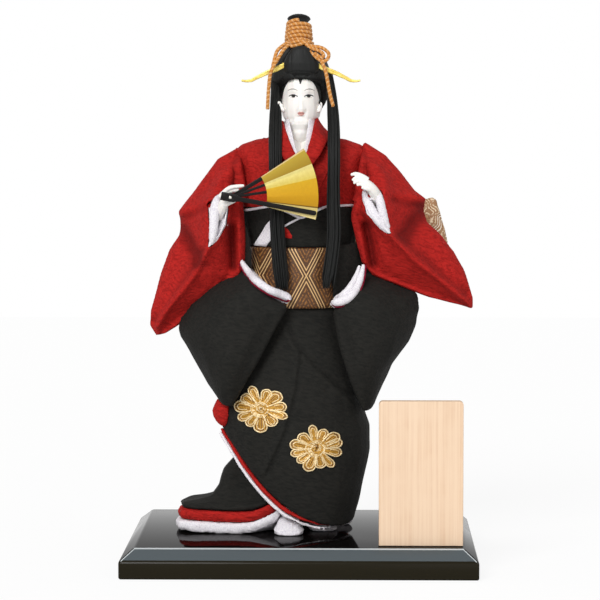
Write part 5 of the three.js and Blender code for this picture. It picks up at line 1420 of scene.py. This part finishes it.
class DOLL_OT_fan(bpy.types.Operator):
    """Makes the fan's lacquered sticks, its rivet and the pleated gilt leaf between them"""
    bl_idname = "doll.fan"
    bl_label = "Folding fan"

    def execute(self, context):
        for name, body in zip(("fan_guard_front", "fan_rib_1", "fan_rib_2", "fan_guard_rear"), LEAF_BODIES):
            stick = rounded(copy_of("lacquer_" + name, name), 0.18 * MM, 2)
            dress(stick, body, "fan_lacquer", "stick lacquer", name)
        rivet = rounded(copy_of("silvered_rivet", "fan_rivet"), 0.15 * MM, 2)
        shift(rivet, lambda p, n: (0.4 * (FAN_RIVET[0] - p.x), 0, 0.4 * (FAN_RIVET[2] - p.z)))
        dress(rivet, "doll", "gold_pin", "silvered brass", "fan_rivet")
        for number, stations in enumerate(LEAF_STATIONS, 1):
            self.panel(number, stations)
        return {"FINISHED"}

    def angle(self, p):
        """A point's angle round the rivet in degrees and its reach."""
        across, rise = p.x - FAN_RIVET[0], p.z - FAN_RIVET[2]
        return (math.degrees(math.atan2(rise, across)), math.hypot(across, rise), 0)

    def panel(self, number, stations):
        rows = []
        for (a0, y0), (a1, y1) in zip(stations, stations[1:]):
            steps = max(2, round((a1 - a0) / 1.2))
            for k in range(steps + (a1 == stations[-1][0])):
                share = k / steps
                angle, y = mix(a0, a1, share), mix(y0, y1, share)
                rows.append([on_fan(angle, mix(LEAF_INNER, LEAF_OUTER, c / 14), y) for c in range(15)])
        leaf = grid(f"gilt_leaf_{number}", rows)
        apply(leaf, "SOLIDIFY", thickness=settings().fan.paper, offset=0)
        only(leaf)
        bpy.ops.object.shade_smooth_by_angle(angle=math.radians(6))
        leaf.data.materials.append(bpy.data.materials["gilt paper"])
        map_vertices(leaf, "pleat", self.angle)
        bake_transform(leaf)
        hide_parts(f"fan_leaf_{number}")


# Head

FACE_X = 0.1
FACE_FORMS = [
    ((0.0, 351.8), (1.6, 2.0), 1.1), ((0.0, 356.5), (1.6, 4.0), 0.3), ((2.0, 351.0), (1.0, 1.1), 0.5),
    ((-2.0, 351.0), (1.0, 1.1), 0.5), ((5.9, 361.4), (3.0, 1.7), -0.7), ((-5.9, 361.4), (3.0, 1.7), -0.7),
    ((6.4, 365.2), (4.0, 1.6), 0.35), ((-6.4, 365.2), (4.0, 1.6), 0.35), ((0.0, 348.9), (2.1, 0.8), 0.55),
    ((0.0, 347.0), (1.7, 0.8), 0.6), ((0.0, 348.0), (2.6, 0.35), -0.35), ((0.0, 344.8), (2.4, 0.9), -0.4),
    ((0.0, 342.0), (3.0, 1.8), 0.5), ((8.0, 353.0), (4.0, 4.0), 0.5), ((-8.0, 353.0), (4.0, 4.0), 0.5),
]
EARS = [
    ((-17.3, -10, 355.2), (1.9, 1.6, 2.3)), ((-16.0, -10.5, 353), (2.0, 1.6, 2.6)),
    ((-14.8, -11, 350.8), (1.7, 1.6, 2.2)),
    ((15.3, -9, 354.4), (1.1, 1.4, 2.2)), ((14.6, -9.5, 352.2), (1.2, 1.4, 2.2)),
    ((13.9, -10, 350.2), (1.0, 1.4, 1.8))]
EYE_HALF = 5.9
EYE_LINE = [
    (-3.3, -0.9, 0.3), (-2.6, -0.25, 0.55), (-1.2, 0.45, 1.25), (0.4, 0.55, 1.45), (2.0, 0.25, 1.15),
    (3.6, -0.35, 0.35)]
IRIS = [
    (-1.5, -0.1, 0.5), (-1.1, -0.85, 0.9), (-0.4, -1.15, 1.0), (0.4, -1.15, 1.0), (1.1, -0.85, 0.9),
    (1.5, -0.1, 0.5)]
LOWER_LID = [(-2.9, -0.75, -0.55), (-1.2, -1.35, -1.2), (0.6, -1.4, -1.25), (2.6, -0.95, -0.8)]
BROW = [(-3.2, 4.2, 4.5), (-1.6, 4.85, 5.35), (0.3, 5.2, 5.8), (2.4, 5.0, 5.5), (4.4, 4.1, 4.4)]
UPPER_LIP = [
    (-3.2, 347.7, 347.8), (-1.9, 347.7, 348.6), (-0.9, 347.6, 349.1), (0.0, 347.55, 348.8),
    (0.9, 347.6, 349.1), (1.9, 347.7, 348.6), (3.2, 347.7, 347.8)]
LOWER_LIP = [
    (-2.4, 347.2, 347.5), (-1.4, 346.2, 347.4), (0.0, 345.8, 347.35), (1.4, 346.2, 347.4),
    (2.4, 347.2, 347.5)]
LIP_LINE = [
    (-2.2, 347.5, 347.65), (-1.0, 347.3, 347.7), (0.0, 347.15, 347.65), (1.0, 347.3, 347.7),
    (2.2, 347.5, 347.65)]


class DOLL_OT_head(bpy.types.Operator):
    """Models the white face and paints its brows, eyes and lips"""
    bl_idname = "doll.head"
    bl_label = "Face"

    def execute(self, context):
        parts = [copy_of("white_head", "head")] + [ball(place, radii) for place, radii in EARS]
        face = joined("white_head", parts)
        soften(face, settings().head.face_step, 6)

        def form(p, normal):
            total = 0.0
            if normal.y < 0 and p.y < -6:
                for (x, z), (wide, tall), height in FACE_FORMS:
                    a, b = (p.x - FACE_X - x) / wide, (p.z - z) / tall
                    if a * a + b * b < 7:
                        total += height * math.exp(-a * a - b * b)
            return total

        push(face, form)
        shift(face, self.throat)
        group = face.vertex_groups.new(name="neck")
        for vertex in face.data.vertices:
            level = vertex.co.z / MM
            group.add([vertex.index], share_of(level, 319, 325) * share_of(level, 342, 338), "REPLACE")
        apply(face, "SMOOTH", factor=0.5, iterations=100, vertex_group="neck")
        apply(face, "SMOOTH", factor=0.5, iterations=2)
        shade(face)
        dress(face, "head", "white_gofun", "shell white", "head")
        tree = surface_of(face)
        for side, sign in (("right", -1), ("left", 1)):
            for name, strip, base, material, lift in (
                    ("lid", EYE_LINE, 361.0, "eye ink", 0.1), ("iris", IRIS, 361.1, "eye ink", 0.06),
                    ("lower_lid", LOWER_LID, 361.0, "lid wash", 0.05),
                    ("brow", BROW, 361.0, "brow wash", 0.06)):
                stations = [
                    (FACE_X + sign * (EYE_HALF + x), base + low, base + high) for x, low, high in strip]
                self.stroke(tree, f"{name}_{side}", stations, material, lift)
        for name, strip, material, lift in (
                ("upper_lip", UPPER_LIP, "lip red", 0.05), ("lower_lip", LOWER_LIP, "lip red", 0.05),
                ("lip_line", LIP_LINE, "lip shadow", 0.12)):
            self.stroke(tree, name, [(FACE_X + x, low, high) for x, low, high in strip], material, lift)
        return {"FINISHED"}

    def throat(self, p, normal):
        """Fills out the neck toward the collar, and the jaw above it."""
        share = share_of(p.z, 319, 327) * share_of(p.z, 343, 339)
        jaw = math.exp(-((p.z - 346) / 7) ** 2) * abs(normal.x)
        front = -14.0 - 6.0 * share_of(p.z, 322, 340)
        forward = min(0.0, front - p.y) * share * max(0.0, 1 - (p.x / 11) ** 2) if p.y < 0 else 0.0
        return normal * (2.0 * share * (1 - abs(normal.z)) + 1.3 * jaw) + Vector((0, forward, 0))

    def stroke(self, tree, name, stations, material, lift):
        """One brush stroke of paint on the face."""
        piece = ribbon(name, tree, smooth_line(stations, 0.3), 4, lift, 0.08)
        dress(piece, "head", "white_gofun", material)


LOCKS = {
    "right": [(-20, -5, 380), (-20, -7, 362.5), (-19.6, -14, 348.5), (-19.4, -28, 331.5), (-19.2, -36, 312.5),
              (-18.5, -38.5, 282.5), (-16.8, -40, 247.5), (-13.2, -41, 212)],
    "left": [(21, -5, 380), (23.5, -7, 362.5), (24.6, -14, 348.5), (25.3, -28, 331.5), (25.5, -36, 312.5),
             (25.2, -38.5, 282.5), (25.5, -40, 252), (20.6, -41, 214)],
}
# Lower edge of the hair over the brow: x with its low and high edge
HAIRLINE = [
    (-14.6, 359, 372), (-13.6, 364, 376), (-12, 368.4, 378), (-9.5, 372.2, 379), (-6.5, 374.3, 380),
    (-3.4, 374.8, 380), (-1.6, 373.6, 380), (-0.4, 370.2, 380), (0.9, 373.4, 380), (3, 374.2, 380),
    (6, 373.7, 380), (9, 371.6, 379), (11.4, 368, 378), (13, 363.6, 376), (14, 359, 374), (14.8, 354, 372)]
LOCK_HALF = 4.5
LOCK_THICK = 2.0


class DOLL_OT_hair(bpy.types.Operator):
    """Dresses the hair: cap, front roll, topknot, side locks and the gilt pins"""
    bl_idname = "doll.hair"
    bl_label = "Hair"

    def execute(self, context):
        for node, step in (("hair_cap", 0.8), ("front_hair_roll", 0.7), ("topknot", 0.6)):
            hair = soften(copy_of("silk_" + node, node), step * MM, 7)
            map_vertices(hair, "comb", self.comb)
            push(hair, self.ridges)
            dress(hair, "head", "hair", "silk hair", node)
            if node == "front_hair_roll":
                push(hair, lambda p, n: abs(n.x))
            if node == "topknot":
                push(hair, lambda p, n: 0.6 * (1 - abs(n.z)) * share_of(p.z, 414, 418))
            if node == "hair_cap":
                push(hair, lambda p, n: 4.0 * abs(n.x) * math.exp(-((p.z - 392) / 8) ** 2))
        below = ("white_head", "silk_hair_cap", "silk_front_hair_roll")
        tree = surface_of(*(bpy.data.objects[name] for name in below))
        edge = ribbon("silk_hairline", tree, smooth_line(HAIRLINE, 0.4), 10, 0.35, 0.5)
        map_vertices(edge, "comb", self.comb)
        dress(edge, "head", "hair", "silk hair")
        for side, route in LOCKS.items():
            self.lock(side, route)
        for side in ("right", "left"):
            pin = soften(copy_of(f"gilt_pin_{side}", f"hair_pin_{side}"), 0.3 * MM, 4)
            push(pin, lambda p, n: 0.55 * abs(n.z) * share_of(abs(p.x), 44, 28))
            dress(pin, "head", "gold_pin", "gilt brass", f"hair_pin_{side}")
        return {"FINISHED"}

    def comb(self, p):
        """How far round the head a point lies, and how high."""
        return (math.atan2(p.x + 2, 1 - p.y) * 20, p.z, 0)

    def ridges(self, p, normal):
        """Fine ridges along the combed hair."""
        return 0.16 * noise.noise(Vector((math.atan2(p.x + 2, 1 - p.y) * 26, p.z * 0.05, 0)))

    def lock(self, side, route):
        """One side lock in loose strands that hang down in front of the bodice."""
        head = settings().head
        draw = random.Random(7 if side == "right" else 8)
        middle = smooth_line(route, 3.0)
        lines = []
        for k in range(head.strands):
            turn = 2 * math.pi * draw.random()
            out = math.sqrt(draw.random())
            a, b = out * math.cos(turn), out * math.sin(turn)
            count = len(middle) - draw.randint(0, 3)
            line, shares = [], []
            for i in range(count):
                share = i / (len(middle) - 1)
                spread = mix(0.62, 1.0, min(1.0, share * 5)) * mix(0.92, 1.3, share)
                stray = 0.5 * noise.noise(Vector((k * 3.7, share * 5, 0)))
                line.append(middle[i] + Vector((a * LOCK_HALF * spread + stray, b * LOCK_THICK * spread, 0)))
                shares.append(1.0 if i < count - 2 else mix(0.75, 0.3, i - count + 2))
            lines.append((line, shares))
        lock = tubes(f"side_tress_{side}", lines, head.strand / MM, 0)
        map_vertices(lock, "comb", lambda p: (p.x * 2.2 + p.y * 3.1, p.z, 0))
        lock.data.materials.append(bpy.data.materials["silk hair"])
        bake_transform(lock)
        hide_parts(f"side_lock_{side}")


class DOLL_PT_panel(bpy.types.Panel):
    """Lists the doll's pieces and settings"""
    bl_idname = "DOLL_PT_panel"
    bl_label = "Costume doll"
    bl_space_type = "VIEW_3D"
    bl_region_type = "UI"
    bl_category = "Doll"

    def draw(self, context):
        for operator in OPERATORS:
            self.layout.operator(operator.bl_idname)
        for group in (settings().cloth, settings().stand, settings().head, settings().fan):
            box = self.layout.box()
            for name in group.bl_rna.properties.keys():
                if name not in ("rna_type", "name"):
                    box.prop(group, name)


GROUPS = (ClothSettings, StandSettings, HeadSettings, FanSettings, DollSettings)
OPERATORS = (
    DOLL_OT_stage, DOLL_OT_cords, DOLL_OT_stand, DOLL_OT_plaque, DOLL_OT_feet, DOLL_OT_skirt, DOLL_OT_flowers,
    DOLL_OT_bodice, DOLL_OT_belts, DOLL_OT_bow, DOLL_OT_sleeves, DOLL_OT_lowered, DOLL_OT_hands, DOLL_OT_fan,
    DOLL_OT_head, DOLL_OT_hair)


def register():
    for kind in (*GROUPS, *OPERATORS, DOLL_PT_panel):
        bpy.utils.register_class(kind)
    bpy.types.Scene.doll = PointerProperty(type=DollSettings)


def unregister():
    del bpy.types.Scene.doll
    for kind in reversed((*GROUPS, *OPERATORS, DOLL_PT_panel)):
        bpy.utils.unregister_class(kind)


def main():
    register()
    make_materials()
    bpy.ops.doll.stage()
    bpy.ops.doll.cords()
    bpy.ops.doll.stand()
    bpy.ops.doll.plaque()
    bpy.ops.doll.feet()
    bpy.ops.doll.skirt()
    bpy.ops.doll.flowers()
    bpy.ops.doll.bodice()
    bpy.ops.doll.belts()
    bpy.ops.doll.bow()
    bpy.ops.doll.sleeves()
    bpy.ops.doll.lowered()
    bpy.ops.doll.hands()
    bpy.ops.doll.fan()
    bpy.ops.doll.head()
    bpy.ops.doll.hair()


if __name__ == "__main__":
    main()
